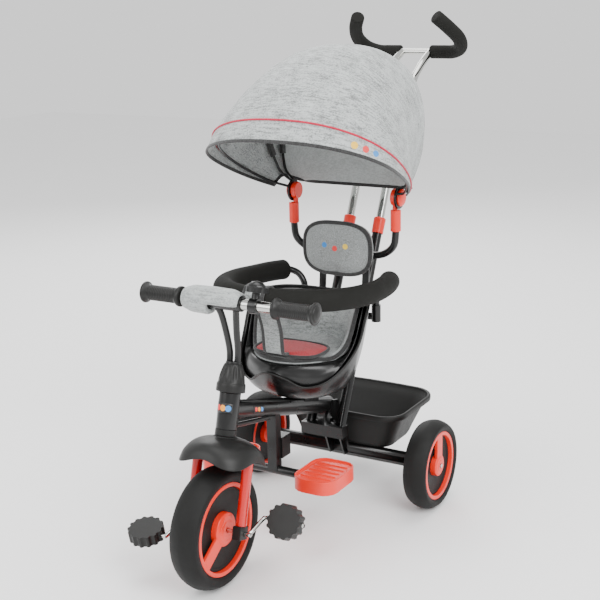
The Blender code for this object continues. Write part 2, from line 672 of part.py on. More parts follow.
axle_half = REAR_TRACK / 2 + 0.0275
shaft = rod(place(-axle_half, WHEELBASE, REAR_R), place(axle_half, WHEELBASE, REAR_R), AXLE_R, 16)
smooth(add("rear_axle_shaft", shaft, ZINC), 50)

# ---------------------------------------------------------------- push handle
def up_handle(distance):
    """Point (y, z) up the straight posts from the top of the collars."""
    return (COLLAR_TOP[0] + distance * math.sin(HANDLE_LEAN),
            COLLAR_TOP[1] + distance * math.cos(HANDLE_LEAN))


POST_LOW, POST_TOP, SOCKET_LOW = -0.480, -0.020, -0.300
SOCKET_X, SOCKET_Y, SOCKET_Z = 0.090, 0.524, 0.425   # cups that hold the safety bar
posts = [box((0.104, 0.026, 0.026), place(0, 0.4405, 0.1750)),
         cut("saddle", box((0.020, 0.024, 0.050), place(0, 0.4405, 0.205)), beam_clear),
         rod(place(-SOCKET_X, SOCKET_Y, SOCKET_Z), place(SOCKET_X, SOCKET_Y, SOCKET_Z), 0.0080, 12)]
sockets = []
for side in (1, -1):
    posts.append(rod(place(side * POST_X, *up_handle(POST_LOW)),
                     place(side * POST_X, *up_handle(POST_TOP)), POST_R, 18))
    posts.append(box((0.0113, 0.0310, 0.0117), place(side * POST_X, 0.5370, SOCKET_Z)))
    posts.append(rod(place(side * SOCKET_X, SOCKET_Y, SOCKET_Z - 0.0100),
                     place(side * SOCKET_X, SOCKET_Y, SOCKET_Z + 0.028), 0.0105, 14))
    sockets.append(rod(place(side * POST_X, *up_handle(SOCKET_LOW)),
                       place(side * POST_X, *up_handle(0.05)), CHROME_R + GAP, 16))
    sockets.append(rod(place(side * SOCKET_X, SOCKET_Y, SOCKET_Z + 0.009),
                       place(side * SOCKET_X, SOCKET_Y, SOCKET_Z + 0.05),
                       SAFETY_TUBE_R + GAP, 12))
lower = cut("handle_lower", union("handle_lower", *posts), *sockets)
smooth(add("handle_lower", lower, BLACK_STEEL), 45)

for side, word in ((1, "left"), (-1, "right")):
    collar = turned([(COLLAR_R - 0.001, 0.002), (COLLAR_R, 0.0005), (COLLAR_R - 0.0006, -0.034),
                     (POST_R + GAP, -0.034), (POST_R + GAP, -0.0200 + GAP),
                     (CHROME_R + GAP, -0.0200 + GAP), (CHROME_R + GAP, 0.002)], 16, closed=True)
    stand = Matrix.Translation(place(side * POST_X, *COLLAR_TOP)) @ \
        Matrix.Rotation(-HANDLE_LEAN, 4, "X")
    smooth(add("handle_collar_" + word, moved(collar, stand), RED_PLASTIC), 45)

handle_slide = pivot("handle_slide", place(0, *COLLAR_TOP), turn=(-HANDLE_LEAN, 0, 0))


def horn_path(side):
    """The foam grip's middle line: out along the bar, round, and back up inwards."""
    y, z = CROSSBAR
    return [(side * POST_X, y, z), (side * 0.0700, y, z), (side * 0.0980, y - 0.001, z + 0.001),
            (side * 0.1225, y - 0.018, z + 0.012), (side * 0.1310, y - 0.050, z + 0.034),
            (side * 0.1200, y - 0.084, z + 0.059), (side * 0.0990, y - 0.113, z + 0.086)]


HANDLE_BEND = [up_handle(0.160), (0.780, 0.842), (0.826, 0.914), (0.862, 0.944), (0.893, 0.962),
               CROSSBAR]
bar_core = sampled([place(*p) for p in [*reversed(horn_path(-1)), *horn_path(1)]], 34)
CORE_R = CHROME_R * 0.9
SPARE = 2                        # path steps left free at each end, inside the foam
bar_pieces = [tube(bar_core[SPARE:-SPARE], CORE_R, 1)]
clearing = [tube(bar_core[SPARE - 1:-SPARE + 1], CORE_R + 4 * GAP, 1)]
for side in (1, -1):
    upper = sampled([place(side * POST_X, y, z) for y, z in HANDLE_BEND], 9)
    straight = [tuple(place(side * POST_X, *up_handle(s))) for s in (-0.160, 0.0)]
    bar_pieces.append(tube([*straight, *upper], CHROME_R, 1))
    clearing.append(tube(upper[-4:], CHROME_R + GAP, 1))
push_bar = union("push_bar", *bar_pieces)
FROM_SLIDE = handle_slide.matrix_basis.inverted()
push_bar.transform(FROM_SLIDE)
smooth(add("push_bar", push_bar, CHROME, handle_slide), 50)

for side, word in ((1, "left"), (-1, "right")):
    path = sampled([place(*p) for p in horn_path(side)], 16)[1:]
    foam = cut("foam", tube(path, FOAM_R, 2), clearing[0], clearing[1 if side > 0 else 2])
    foam.transform(FROM_SLIDE)
    smooth(add("push_grip_" + word, foam, GRIP_FOAM, handle_slide), 45)

# ---------------------------------------------------------------- seat
def closed_curve(points, count):
    """Even samples of a smooth closed curve through the given points."""
    loop = [points[-1], *points, points[0], points[1]]
    fine = []
    for a, b, c, d in zip(loop, loop[1:], loop[2:], loop[3:]):
        a, b, c, d = (np.array(p, dtype=float) for p in (a, b, c, d))
        t = np.linspace(0, 1, 16, endpoint=False)[:, None]
        fine.append(0.5 * (2 * b + (c - a) * t + (2 * a - 5 * b + 4 * c - d) * t ** 2
                           + (3 * b - a - 3 * c + d) * t ** 3))
    fine = np.vstack(fine)
    fine = np.vstack([fine, fine[:1]])
    run = np.concatenate([[0], np.cumsum(np.linalg.norm(np.diff(fine, axis=0), axis=1))])
    wanted = np.linspace(0, run[-1], count, endpoint=False)
    return np.stack([np.interp(wanted, run, fine[:, k]) for k in range(3)], axis=1)


SEAT_RIM = [(0.0, 0.210, 0.374), (0.032, 0.222, 0.362), (0.064, 0.243, 0.342),
            (0.100, 0.268, 0.350), (0.126, 0.305, 0.378), (0.139, 0.342, 0.416),
            (0.1415, 0.370, 0.465), (0.136, 0.398, 0.490), (0.114, 0.445, 0.492),
            (0.080, 0.477, 0.489), (0.040, 0.494, 0.485), (0.0, 0.499, 0.484)]
rim_loop = SEAT_RIM + [(-x, y, z) for x, y, z in reversed(SEAT_RIM[1:-1])]
SEAT_COUNT = 28
SEAT_MIDDLE = np.array([0.0, 0.350, 0.0])
PLATEAU_Z = 0.3830               # the raised surface that the child sits on
rim = closed_curve(rim_loop, SEAT_COUNT)
rim_out = rim - SEAT_MIDDLE
rim_out[:, 2] = 0
rim_angle = np.arctan2(rim_out[:, 1], rim_out[:, 0])
rim_out /= np.linalg.norm(rim_out, axis=1)[:, None]


def seat_oval(radius_x, radius_y, z, behind=0.0):
    """An oval ring about the middle of the seat, one point for each point of the rim."""
    return np.stack([radius_x * np.cos(rim_angle),
                     SEAT_MIDDLE[1] + behind + radius_y * np.sin(rim_angle),
                     np.full(SEAT_COUNT, z)], axis=1)


def ring_of(points):
    return [tuple(place(*p)) for p in points]


def tub_ring(share):
    """The outer bowl between its rim (0) and its flat base (1)."""
    base = seat_oval(0.075, 0.078, SEAT_BASE_Z, behind=0.015)
    inward = 0.5 * share + 0.5 * (1 - math.cos(share * math.pi / 2))
    down = math.sin(share * math.pi / 2)
    return ring_of(rim + (base - rim) * np.array([inward, inward, down]))


tub = thickened(loft([tub_ring(t) for t in (0.0, 0.20, 0.45, 0.72, 1.0)],
                     caps=(False, True)), 0.0030, -1)
smooth(add("seat_tub", tub, GLOSS_PLASTIC), 40)

# the pan inside the tub: a skirt that climbs from the rim to the raised surface
pan_edge = rim - rim_out * 0.0095 - np.array([0, 0, 0.0010])
plateau = seat_oval(0.105, 0.112, PLATEAU_Z)
dish = seat_oval(0.080, 0.086, PLATEAU_Z - 0.003)
pan_rows = [pan_edge, pan_edge * 0.5 + plateau * 0.5 + rim_out * 0.003, plateau, dish]
pan = thickened(loft([ring_of(row) for row in pan_rows], caps=(False, True)), 0.0025, -1)
smooth(add("seat_pan", pan, GLOSS_PLASTIC), 40)

# soft liner on the pan, open at the front where it ends on the raised surface
hold_back = np.clip((0.365 - rim[:, 1]) / 0.105, 0, 1)
start = (0.16 + 0.825 * hold_back ** 2 * (3 - 2 * hold_back))[:, None]


def liner_row(share, inward, lift):
    """A row of the liner between its upper edge (0) and the raised surface (1)."""
    along = start + (1 - start) * share
    point = pan_edge * (1 - along) + plateau * along
    return ring_of(point - rim_out * inward + np.array([0, 0, lift]))


liner_rows = [ring_of(dish + np.array([0, 0, 0.0032])), liner_row(1.0, 0.0060, 0.0034),
              liner_row(0.5, 0.0075, 0.0044), liner_row(0.0, 0.0075, 0.0054),
              liner_row(0.0, 0.0150, 0.0120), liner_row(0.5, 0.0155, 0.0130),
              liner_row(1.0, 0.0130, 0.0130), ring_of(dish * np.array([0.9, 1, 1])
                                                      + np.array([0, 0, 0.0140]))]
smooth(add("seat_liner", loft(liner_rows), GREY_FABRIC), 45)

pad_outline = [(x, FRONT_AXLE_Y + 0.306 + y) for x, y in rounded_rect(0.078, 0.053, 0.048, 5)]
cushion = slab(pad_outline, 0.006, PLATEAU_Z + 0.0170)
smooth(add("seat_pad", cushion, CRIMSON_FABRIC), 45)

# uprights of the seat back, welded to the tube that carries the canopy
back_pieces = []
for side in (1, -1):
    lean = math.atan2(0.012, 0.120)
    upright = box((0.0160, 0.0060, 0.1560), (0, 0, 0), turn=-lean)
    upright.transform(Matrix.Translation(place(side * BACK_POST_X, 0.5430, 0.4880)))
    back_pieces.append(upright)
SUPPORT_PATH = [(0.1272, 0.5455, 0.6420), (0.1272, 0.5455, 0.6280), (0.1272, 0.5455, 0.6130),
                (0.1230, 0.5460, 0.5860), (0.1060, 0.5480, 0.5680), (0.0800, 0.5510, 0.5580),
                (0.0400, 0.5530, 0.5555), (0.0, 0.5530, 0.5550)]
support = [place(*p) for p in SUPPORT_PATH] + [place(-x, y, z)
                                               for x, y, z in reversed(SUPPORT_PATH[:-1])]
back_pieces.append(tube(support, 0.0080, 1, 22))
smooth(add("back_frame", union("back", *back_pieces), BLACK_STEEL), 45)

headrest_slide = pivot("headrest_slide", place(0, 0.5395, 0.5740))
HEAD_HALF_X, HEAD_HALF_Z = 0.0850, 0.0605
head_outline = rounded_rect(HEAD_HALF_X, HEAD_HALF_Z, 0.0420, 5)
head_rings = []
for depth, shrink in ((-0.0350, 0.014), (-0.0320, 0.004), (-0.0240, 0.0), (-0.0060, 0.0),
                      (0.0000, 0.004)):
    head_rings.append([(x * (1 - shrink / HEAD_HALF_X), depth, z * (1 - shrink / HEAD_HALF_Z))
                       for x, z in head_outline])
smooth(add("headrest_pad", loft(head_rings), GREY_FABRIC, headrest_slide), 45)

# ---------------------------------------------------------------- safety bar
BAR_RING = [(0.1310, 0.5080, 0.5150), (0.1460, 0.4600, 0.5180), (0.1550, 0.4000, 0.5210),
            (0.1570, 0.3500, 0.5250), (0.1480, 0.2960, 0.5290), (0.1240, 0.2450, 0.5330),
            (0.0850, 0.2080, 0.5360), (0.0430, 0.1890, 0.5375), (0.0, 0.1830, 0.5380)]
ring_points = BAR_RING + [(-x, y, z) for x, y, z in reversed(BAR_RING[:-1])]
TAIL = [(SOCKET_X, SOCKET_Y, SOCKET_Z + 0.0100), (SOCKET_X, SOCKET_Y, SOCKET_Z + 0.0220),
        (SOCKET_X, SOCKET_Y, SOCKET_Z + 0.0400), (0.0930, 0.5245, 0.4860), (0.1040, 0.5235, 0.5030),
        (0.1190, 0.5190, 0.5115)]
tails = TAIL, [(-x, y, z) for x, y, z in reversed(TAIL)]
bar_points = [place(*p) for p in [*tails[0], *ring_points, *tails[1]]]
smooth(add("safety_bar_tube", tube(bar_points, SAFETY_TUBE_R, 1, 40), BLACK_STEEL), 50)
foam_line = sampled([place(*p) for p in ring_points], 20)
foam_ring = cut("bar_foam", tube(foam_line, 0.0225, 2),
                tube(bar_points, SAFETY_TUBE_R + 4 * GAP, 1, 40))
smooth(add("safety_bar_foam", foam_ring, GRIP_FOAM), 45)

# ---------------------------------------------------------------- crotch strap
def strap(path, width, thickness):
    """A flat strap along a path in the middle plane; its width runs along X."""
    wide = Vector((1, 0, 0))
    rings = []
    for k, point in enumerate(path):
        before = Vector(path[max(k - 1, 0)])
        after = Vector(path[min(k + 1, len(path) - 1)])
        out = (after - before).cross(wide).normalized()
        rings.append([Vector(point) + wide * sx * width / 2 + out * so * thickness / 2
                      for sx, so in ((1, 1), (-1, 1), (-1, -1), (1, -1))])
    return loft(rings)


ring_y, ring_z = BAR_RING[-1][1:]
around = arc((ring_y + 0.0012, ring_z), 0.0280, -40, 205, 14)
strap_path = [(0.2540, 0.4072), (0.2420, 0.4080), (0.2340, 0.4170), (0.2290, 0.4600),
              (0.2180, 0.4950), *around]
strap_points = [place(0, y, z) for y, z in strap_path]
smooth(add("crotch_strap", strap(strap_points, 0.050, 0.003), GREY_FABRIC), 45)

# ---------------------------------------------------------------- basket
def basket_ring(z, half_x, front, back, radius, bow, steps=5):
    """A round-cornered rectangle of the basket at one height, its back bowed out."""
    middle, half_y = (front + back) / 2, (back - front) / 2
    ring = []
    for x, y in rounded_rect(half_x, half_y, radius, steps):
        bowed = y + bow * (1 - (x / half_x) ** 2) * max(y / half_y, 0)
        ring.append(tuple(place(x, middle + bowed, z)))
    return ring


basket_rings = [basket_ring(BASKET_RIM_Z - 0.008, 0.1540, 0.4960, 0.7200, 0.052, 0.010),
                basket_ring(BASKET_RIM_Z, 0.1530, 0.4970, 0.7190, 0.051, 0.010),
                basket_ring(BASKET_RIM_Z, 0.1450, 0.5050, 0.7110, 0.044, 0.009),
                basket_ring(BASKET_FLOOR_Z + 0.014, 0.1200, 0.5200, 0.6640, 0.036, 0.004),
                basket_ring(BASKET_FLOOR_Z, 0.1100, 0.5280, 0.6500, 0.030, 0.002)]
basket = thickened(loft(basket_rings, caps=(False, True)), 0.0025, 1)
smooth(add("basket", basket, BLACK_PLASTIC), 40)

# ---------------------------------------------------------------- canopy
hub_y, hub_z = CANOPY_HUB
HUB_R = 0.0190
for side, word in ((1, "left"), (-1, "right")):
    sleeve = turned([(0.0, 0.0), (0.0105, 0.0), (0.0115, -0.001), (0.0115, -0.046), (0.0105, -0.047),
                     (0.0080 + GAP, -0.047), (0.0080 + GAP, -0.0160), (0.0, -0.0160)], 16)
    sleeve.transform(Matrix.Translation(place(side * 0.1272, 0.5455, 0.6640)))
    neck = rod(place(side * 0.1240, 0.5475, 0.6570), place(side * 0.1240, 0.5515, 0.6800), 0.0056, 12)
    knuckle = turned([(0.0, 0.0060), (HUB_R - 0.001, 0.0060), (HUB_R, 0.0045),
                      (HUB_R, -0.0045), (HUB_R - 0.001, -0.0060), (0.0, -0.0060)], 18)
    knuckle = along_x(knuckle, place(side * (CANOPY_HUB_X - 0.0010), hub_y, hub_z))
    smooth(add("canopy_sleeve_" + word, union("sleeve", sleeve, neck, knuckle), RED_PLASTIC), 45)

canopy_axis = pivot("canopy_axis", place(0, hub_y, hub_z))
PLATE_X = CANOPY_HUB_X + 0.0053 + 0.0022      # middle of the frame's hub plates


def arch(angle, wide, high, shoulder, start, count, ahead=0.0, base=0.138, inset=0.0):
    """Points of the hood from hub to hub, in the plane at an angle above straight ahead.

    It widens from the hubs to its shoulders, then closes over the top. The middle of
    the arch may be swung ahead; the swing dies out towards the hubs.
    """
    drop = shoulder / math.sin(math.acos(base / wide))
    first = math.asin((start - shoulder) / drop)
    points = []
    for t in np.linspace(first, math.pi - first, count):
        s, c = math.sin(t), math.cos(t)
        if s > 0:
            reach = shoulder + (high - shoulder) * s ** (2 / 2.3)
            across = wide * math.copysign(abs(c) ** (2 / 2.3), c)
        else:
            reach = shoulder + drop * s
            across = wide * c
        reach -= inset * min(1.0, reach / shoulder)
        across -= math.copysign(inset * min(1.0, abs(c) * 2), c)
        swing = math.radians(angle - ahead * (s - math.sin(first)) / (1 - math.sin(first)))
        points.append((across, -math.cos(swing) * reach, math.sin(swing) * reach))
    return points


# (angle, half width, height, shoulder height) from the piped front edge to the back
HOOD = ((30, 0.2110, 0.3520, 0.185), (45, 0.2020, 0.3440, 0.170), (60, 0.1920, 0.3350, 0.150),
        (75, 0.1840, 0.3290, 0.130), (90, 0.1780, 0.3250, 0.120), (104, 0.1750, 0.3180, 0.120))
FABRIC_START = 0.0320
ACROSS = 19
VISOR_UP, PIPING_UP = -1.5, -3.0   # how far the middles of the first arches stand up
rows = [arch(24, 0.2130, 0.3540, 0.200, FABRIC_START, ACROSS, ahead=VISOR_UP),
        arch(*HOOD[0], FABRIC_START, ACROSS, ahead=PIPING_UP)]
rows += [arch(*sizes, FABRIC_START, ACROSS) for sizes in HOOD[1:]]
back = rows[-1]
LOW_BACK_HALF = 0.1340
LOW_BACK = (0.0560, 0.0120)      # lower edge of the back panel behind and above the hubs
for share in (0.5, 1.0):
    row = []
    for k, point in enumerate(back):
        low = (LOW_BACK_HALF * (1 - 2 * k / (ACROSS - 1)), *LOW_BACK)
        row.append(tuple(a + (b - a) * share for a, b in zip(point, low)))
    rows.append(row)
work = bmesh.new()
grid = [[work.verts.new(p) for p in row] for row in rows]
for low, high in zip(grid, grid[1:]):
    for k in range(ACROSS - 1):
        work.faces.new((low[k], low[k + 1], high[k + 1], high[k]))
hood = thickened(mesh_from(work), 0.0025, -1, even=False)
smooth(add("canopy_fabric", hood, GREY_FABRIC, canopy_axis), 50)

RIB_R = 0.0030
ribs = []
RIBS = (HOOD[0], HOOD[3], (98, 0.1750, 0.3180, 0.120))
for angle, wide, high, shoulder in RIBS:
    line = arch(angle, wide, high, shoulder, 0.0290, ACROSS, base=PLATE_X + 0.0060,
                inset=0.0115)
    near = math.radians(angle)
    foot = [(PLATE_X, -math.cos(near) * 0.0215, math.sin(near) * 0.0215)]
    other = [(-PLATE_X, *foot[0][1:])]
    ribs.append(tube([*foot, *line, *other], RIB_R, 1))
for side in (1, -1):
    ribs.append(along_x(turned([(0.0, 0.0022), (0.0245, 0.0022), (0.0245, -0.0022),
                                (0.0, -0.0022)], 24), (side * PLATE_X, 0, 0)))
smooth(add("canopy_frame", union("ribs", *ribs), BLACK_STEEL, canopy_axis), 50)

for side, word in ((1, "left"), (-1, "right")):
    cap = turned([(0.0, 0.0080), (0.0130, 0.0076), (0.0165, 0.0062), (HUB_R, 0.0035),
                  (HUB_R, 0.0), (0.0, 0.0)], 18)
    cap = along_x(cap, (side * (PLATE_X + 0.0022 + GAP), 0, 0), side)
    smooth(add("canopy_hub_" + word, cap, RED_PLASTIC, canopy_axis), 45)
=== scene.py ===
"""Looks for the children's tricycle: foam tyres, heather canopy, padded seat and chrome bar."""

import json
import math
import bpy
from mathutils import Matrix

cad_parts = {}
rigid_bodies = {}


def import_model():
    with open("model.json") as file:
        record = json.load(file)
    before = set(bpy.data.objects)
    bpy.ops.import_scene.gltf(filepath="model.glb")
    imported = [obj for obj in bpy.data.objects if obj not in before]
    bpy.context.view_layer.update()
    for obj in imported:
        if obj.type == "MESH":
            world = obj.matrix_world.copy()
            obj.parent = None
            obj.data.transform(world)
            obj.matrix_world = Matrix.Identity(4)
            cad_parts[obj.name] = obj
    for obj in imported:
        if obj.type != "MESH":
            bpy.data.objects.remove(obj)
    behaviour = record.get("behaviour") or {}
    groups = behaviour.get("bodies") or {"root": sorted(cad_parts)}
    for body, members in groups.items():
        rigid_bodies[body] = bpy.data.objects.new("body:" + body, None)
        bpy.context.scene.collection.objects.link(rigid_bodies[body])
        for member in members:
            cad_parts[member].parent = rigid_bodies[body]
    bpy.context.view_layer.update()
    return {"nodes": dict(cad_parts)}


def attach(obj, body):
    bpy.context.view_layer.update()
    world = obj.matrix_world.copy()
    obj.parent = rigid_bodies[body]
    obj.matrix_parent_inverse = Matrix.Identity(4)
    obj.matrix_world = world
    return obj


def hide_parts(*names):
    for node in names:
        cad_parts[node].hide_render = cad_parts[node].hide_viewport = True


bl_info = {
    "name": "Children's Tricycle",
    "version": (1, 0, 0),
    "blender": (4, 5, 0),
    "location": "3D View > Sidebar > Tricycle",
    "description": "Builds the finished surfaces of a children's push tricycle",
    "category": "Object",
}

import bmesh
import bpy
import numpy as np
from mathutils import Matrix, Vector

for left_over in list(bpy.data.objects):
    bpy.data.objects.remove(left_over)
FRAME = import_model()

# ---------------------------------------------------------------- places on the tricycle
GAP = 0.0003                              # air between parts that move or meet
FRONT_R, REAR_R = 0.1225, 0.0995
AXLE_Y = FRONT_R / 2 - 0.943 / 2          # front axle, behind the middle of the object
AXLE = np.array([0.0, AXLE_Y, FRONT_R])
REAR_Y, REAR_X = AXLE_Y + 0.529, 0.2208
RAKE = math.radians(15.4)
STEER = Matrix.Translation(AXLE.tolist()) @ Matrix.Rotation(-RAKE, 4, "X")
BAR_H, BAR_Q = 0.437, -0.046              # handlebar along and behind the steering axis
ALONG_X = Matrix.Rotation(math.pi / 2, 4, "Y")
HANDLE_LEAN = math.atan(0.467)
COLLAR_TOP = (0.650, 0.619)
POST_X = 0.038
CROSSBAR = (0.928, 0.978)
HUB = np.array([0.0, AXLE_Y + 0.553, 0.690])
HEAD_PIVOT = np.array([0.0, AXLE_Y + 0.5395, 0.5740])


def place(points):
    """World points from points measured behind the front axle."""
    return np.asarray(points, float) + [0.0, AXLE_Y, 0.0]


def both_sides(half):
    """A path from the left end over the middle plane to its mirror image."""
    half = np.asarray(half, float)
    return np.concatenate([half, half[-2::-1] * [-1, 1, 1]])


# ---------------------------------------------------------------- shapes on grids of points
def flow(rows, steps, closed=False):
    """Rows between rows: each column follows a Catmull-Rom cubic through its points."""
    p = np.asarray(rows, float)
    if closed:
        ends = np.concatenate([p[-1:], p, p[:2]])
    else:
        ends = np.concatenate([2 * p[:1] - p[1:2], p, 2 * p[-1:] - p[-2:-1]])
    count = len(ends) - 3
    a, b, c, d = (ends[k:count + k, None] for k in range(4))
    t = np.linspace(0, 1, steps, endpoint=False).reshape(1, -1, *([1] * (p.ndim - 1)))
    fine = 0.5 * (2 * b + (c - a) * t + (2 * a - 5 * b + 4 * c - d) * t ** 2
                  + (3 * b - a - 3 * c + d) * t ** 3)
    fine = fine.reshape(-1, *p.shape[1:])
    return fine if closed else np.concatenate([fine, p[-1:]])


def trace(points, count, closed=False, tip=0.0):
    """Points spread evenly by length along the smooth curve, and closer within a tip."""
    fine = flow(points, 24, closed)
    if closed:
        fine = np.concatenate([fine, fine[:1]])
    run = np.concatenate([[0], np.cumsum(np.linalg.norm(np.diff(fine, axis=0), axis=1))])
    at = np.linspace(0, run[-1], count, endpoint=not closed)
    if tip:
        near = tip * (1 - np.cos(np.linspace(0, math.pi / 2, 9)))
        at = np.concatenate([near, at[(at > tip) & (at < run[-1] - tip)],
                             run[-1] - near[::-1]])
    return np.stack([np.interp(at, run, fine[:, k]) for k in range(fine.shape[1])], axis=1)


def filleted(outline, radius, closed=True, steps=5):
    """Corners softened: a parabola from one radius before each corner to one after it."""
    p = np.asarray(outline, float)
    ways = [np.roll(p, 1, 0) - p, np.roll(p, -1, 0) - p]
    a, b = (p + w * np.minimum(radius / np.maximum(np.linalg.norm(w, axis=1), 1e-9), 0.48)
            [:, None] for w in ways)
    t = np.linspace(0, 1, steps)[None, :, None]
    made = (1 - t) ** 2 * a[:, None] + 2 * t * (1 - t) * p[:, None] + t ** 2 * b[:, None]
    if not closed:
        made[0], made[-1] = p[0], p[-1]
    return made.reshape(-1, p.shape[1])


def circle(radius, sides=32):
    """A round section of points (across, up)."""
    a = np.linspace(0, 2 * math.pi, sides, endpoint=False)
    return radius * np.stack([np.cos(a), np.sin(a)], axis=1)


def block(wide, tall, radius, steps=5):
    """A rectangular section with soft corners."""
    return filleted(np.array([(1, 1), (-1, 1), (-1, -1), (1, -1)]) * (wide / 2, tall / 2),
                    radius, steps=steps)


def unit(v):
    return v / np.maximum(np.linalg.norm(v, axis=-1, keepdims=True), 1e-12)


def carry(points, matrix):
    """Points moved by a 4x4 matrix."""
    m = np.array(matrix)
    return np.asarray(points, float) @ m[:3, :3].T + m[:3, 3]


def sweep(path, section, reference=(0, 0, 1), scale=1.0, closed=False):
    """Rows of a section along a path, squared to its tangent and leaning on a reference."""
    path = np.asarray(path, float)
    if closed:
        along = np.roll(path, -1, 0) - np.roll(path, 1, 0)
    else:
        along = np.gradient(path, axis=0)
    along = unit(along)
    side = unit(np.cross(along, np.broadcast_to(reference, path.shape)))
    top = np.cross(side, along)
    s = np.asarray(section)[None] * np.reshape(scale, (-1, 1, 1))
    return path[:, None] + side[:, None] * s[..., :1] + top[:, None] * s[..., 1:]


def round_tip(path, radius, tip):
    """Scale along a path whose ends close with a quarter of an ellipse, tip long."""
    run = np.concatenate([[0], np.cumsum(np.linalg.norm(np.diff(path, axis=0), axis=1))])
    near = np.clip(np.minimum(run, run[-1] - run) / tip, 0, 1)
    return 1 - tip / radius * (1 - np.sqrt(1 - (1 - near) ** 2))


def turn(profile, steps=96, matrix=None):
    """A profile of (radius, height) swung round Z; row by profile point, column by angle."""
    profile = np.asarray(profile, float)
    a = np.linspace(0, 2 * math.pi, steps, endpoint=False)
    r, h = profile[:, :1], profile[:, 1:]
    made = np.stack([r * np.cos(a), r * np.sin(a), h + 0 * a], axis=-1)
    return carry(made, matrix) if matrix is not None else made


def outwards(grid):
    """Unit normals of a grid from the cross product of its two directions."""
    return unit(np.cross(np.gradient(grid, axis=1), np.gradient(grid, axis=0)))


class Skin:
    """Grids of points gathered into one mesh, with UVs in metres along the surface."""

    def __init__(self):
        self.points, self.faces, self.uvs, self.slots, self.count = [], [], [], [], 0

    def add(self, grid, around=False, along=False, caps=False, slot=0):
        """Quads over points [row, column]; around and along close the grid on itself."""
        grid = np.asarray(grid, float)
        if caps:
            middle = [np.broadcast_to(grid[k].mean(0), grid[:1].shape) for k in (0, -1)]
            grid = np.concatenate([middle[0], grid, middle[1]])
        n, m = grid.shape[:2]
        r, c = np.meshgrid(np.arange(n if along else n - 1), np.arange(m if around else m - 1),
                           indexing="ij")
        corners = [(r, c), (r, c + 1), (r + 1, c + 1), (r + 1, c)]
        across = np.linalg.norm(np.diff(grid, axis=1, append=grid[:, :1]), axis=2).mean(0)
        down = np.linalg.norm(np.diff(grid, axis=0, append=grid[:1]), axis=2).mean(1)
        u, v = (np.concatenate([[0], np.cumsum(k)]) for k in (across, down))
        self.faces.append(np.stack([self.count + (a % n) * m + b % m for a, b in corners],
                                   -1).reshape(-1, 4))
        self.uvs.append(np.stack([np.stack([u[b], v[a]], -1) for a, b in corners],
                                 2).reshape(-1, 2))
        self.slots.append(np.full(r.size, slot))
        self.points.append(grid.reshape(-1, 3))
        self.count += n * m
        return self

    def build(self, name, body, slot, looks, replaces=(), angle=40):
        """The piece itself: doubles merged, faces turned out, edges sharp past an angle."""
        mesh = bpy.data.meshes.new(name)
        mesh.from_pydata(np.concatenate(self.points), [], np.concatenate(self.faces).tolist())
        layer = mesh.uv_layers.new(name="UVMap")
        layer.data.foreach_set("uv", np.concatenate(self.uvs).ravel())
        mesh.polygons.foreach_set("material_index", np.concatenate(self.slots))
        work = bmesh.new()
        work.from_mesh(mesh)
        bmesh.ops.remove_doubles(work, verts=work.verts, dist=2e-6)
        bmesh.ops.dissolve_degenerate(work, edges=work.edges, dist=1e-7)
        bmesh.ops.recalc_face_normals(work, faces=work.faces)
        work.to_mesh(mesh)
        work.free()
        return finished(name, mesh, body, looks, replaces, angle)


def finished(name, mesh, body, looks, replaces=(), angle=40):
    """Links a mesh as a piece that rides on a body, with its looks and its stand-ins."""
    mesh.shade_smooth()
    mesh.set_sharp_from_angle(angle=math.radians(angle))
    made = bpy.data.objects.new(name, mesh)
    bpy.context.scene.collection.objects.link(made)
    for look in looks if isinstance(looks, (list, tuple)) else [looks]:
        mesh.materials.append(look)
    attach(made, body)
    if replaces:
        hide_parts(*replaces)
    return made


def copied(node, flat=True):
    """A merged copy of a CAD node's mesh, its flat faces made whole."""
    mesh = FRAME["nodes"][node].data.copy()
    mesh.materials.clear()
    work = bmesh.new()
    work.from_mesh(mesh)
    bmesh.ops.remove_doubles(work, verts=work.verts, dist=2e-6)
    if flat:
        bmesh.ops.dissolve_limit(work, angle_limit=math.radians(0.5), verts=work.verts,
                                 edges=work.edges)
    bmesh.ops.recalc_face_normals(work, faces=work.faces)
    work.to_mesh(mesh)
    work.free()
    for layer in list(mesh.uv_layers):
        mesh.uv_layers.remove(layer)
    return mesh


def refined(node, body, look, edge=0.0008, angle=38):
    """The CAD node with soft edges, under its own name with _finish."""
    made = finished(node + "_finish", copied(node), body, look, (node,), angle)
    if edge:
        soft = made.modifiers.new("soft edges", "BEVEL")
        soft.width = edge
        soft.segments = 2
        soft.limit_method = "ANGLE"
        soft.angle_limit = math.radians(angle)
        soft.harden_normals = True
    return made


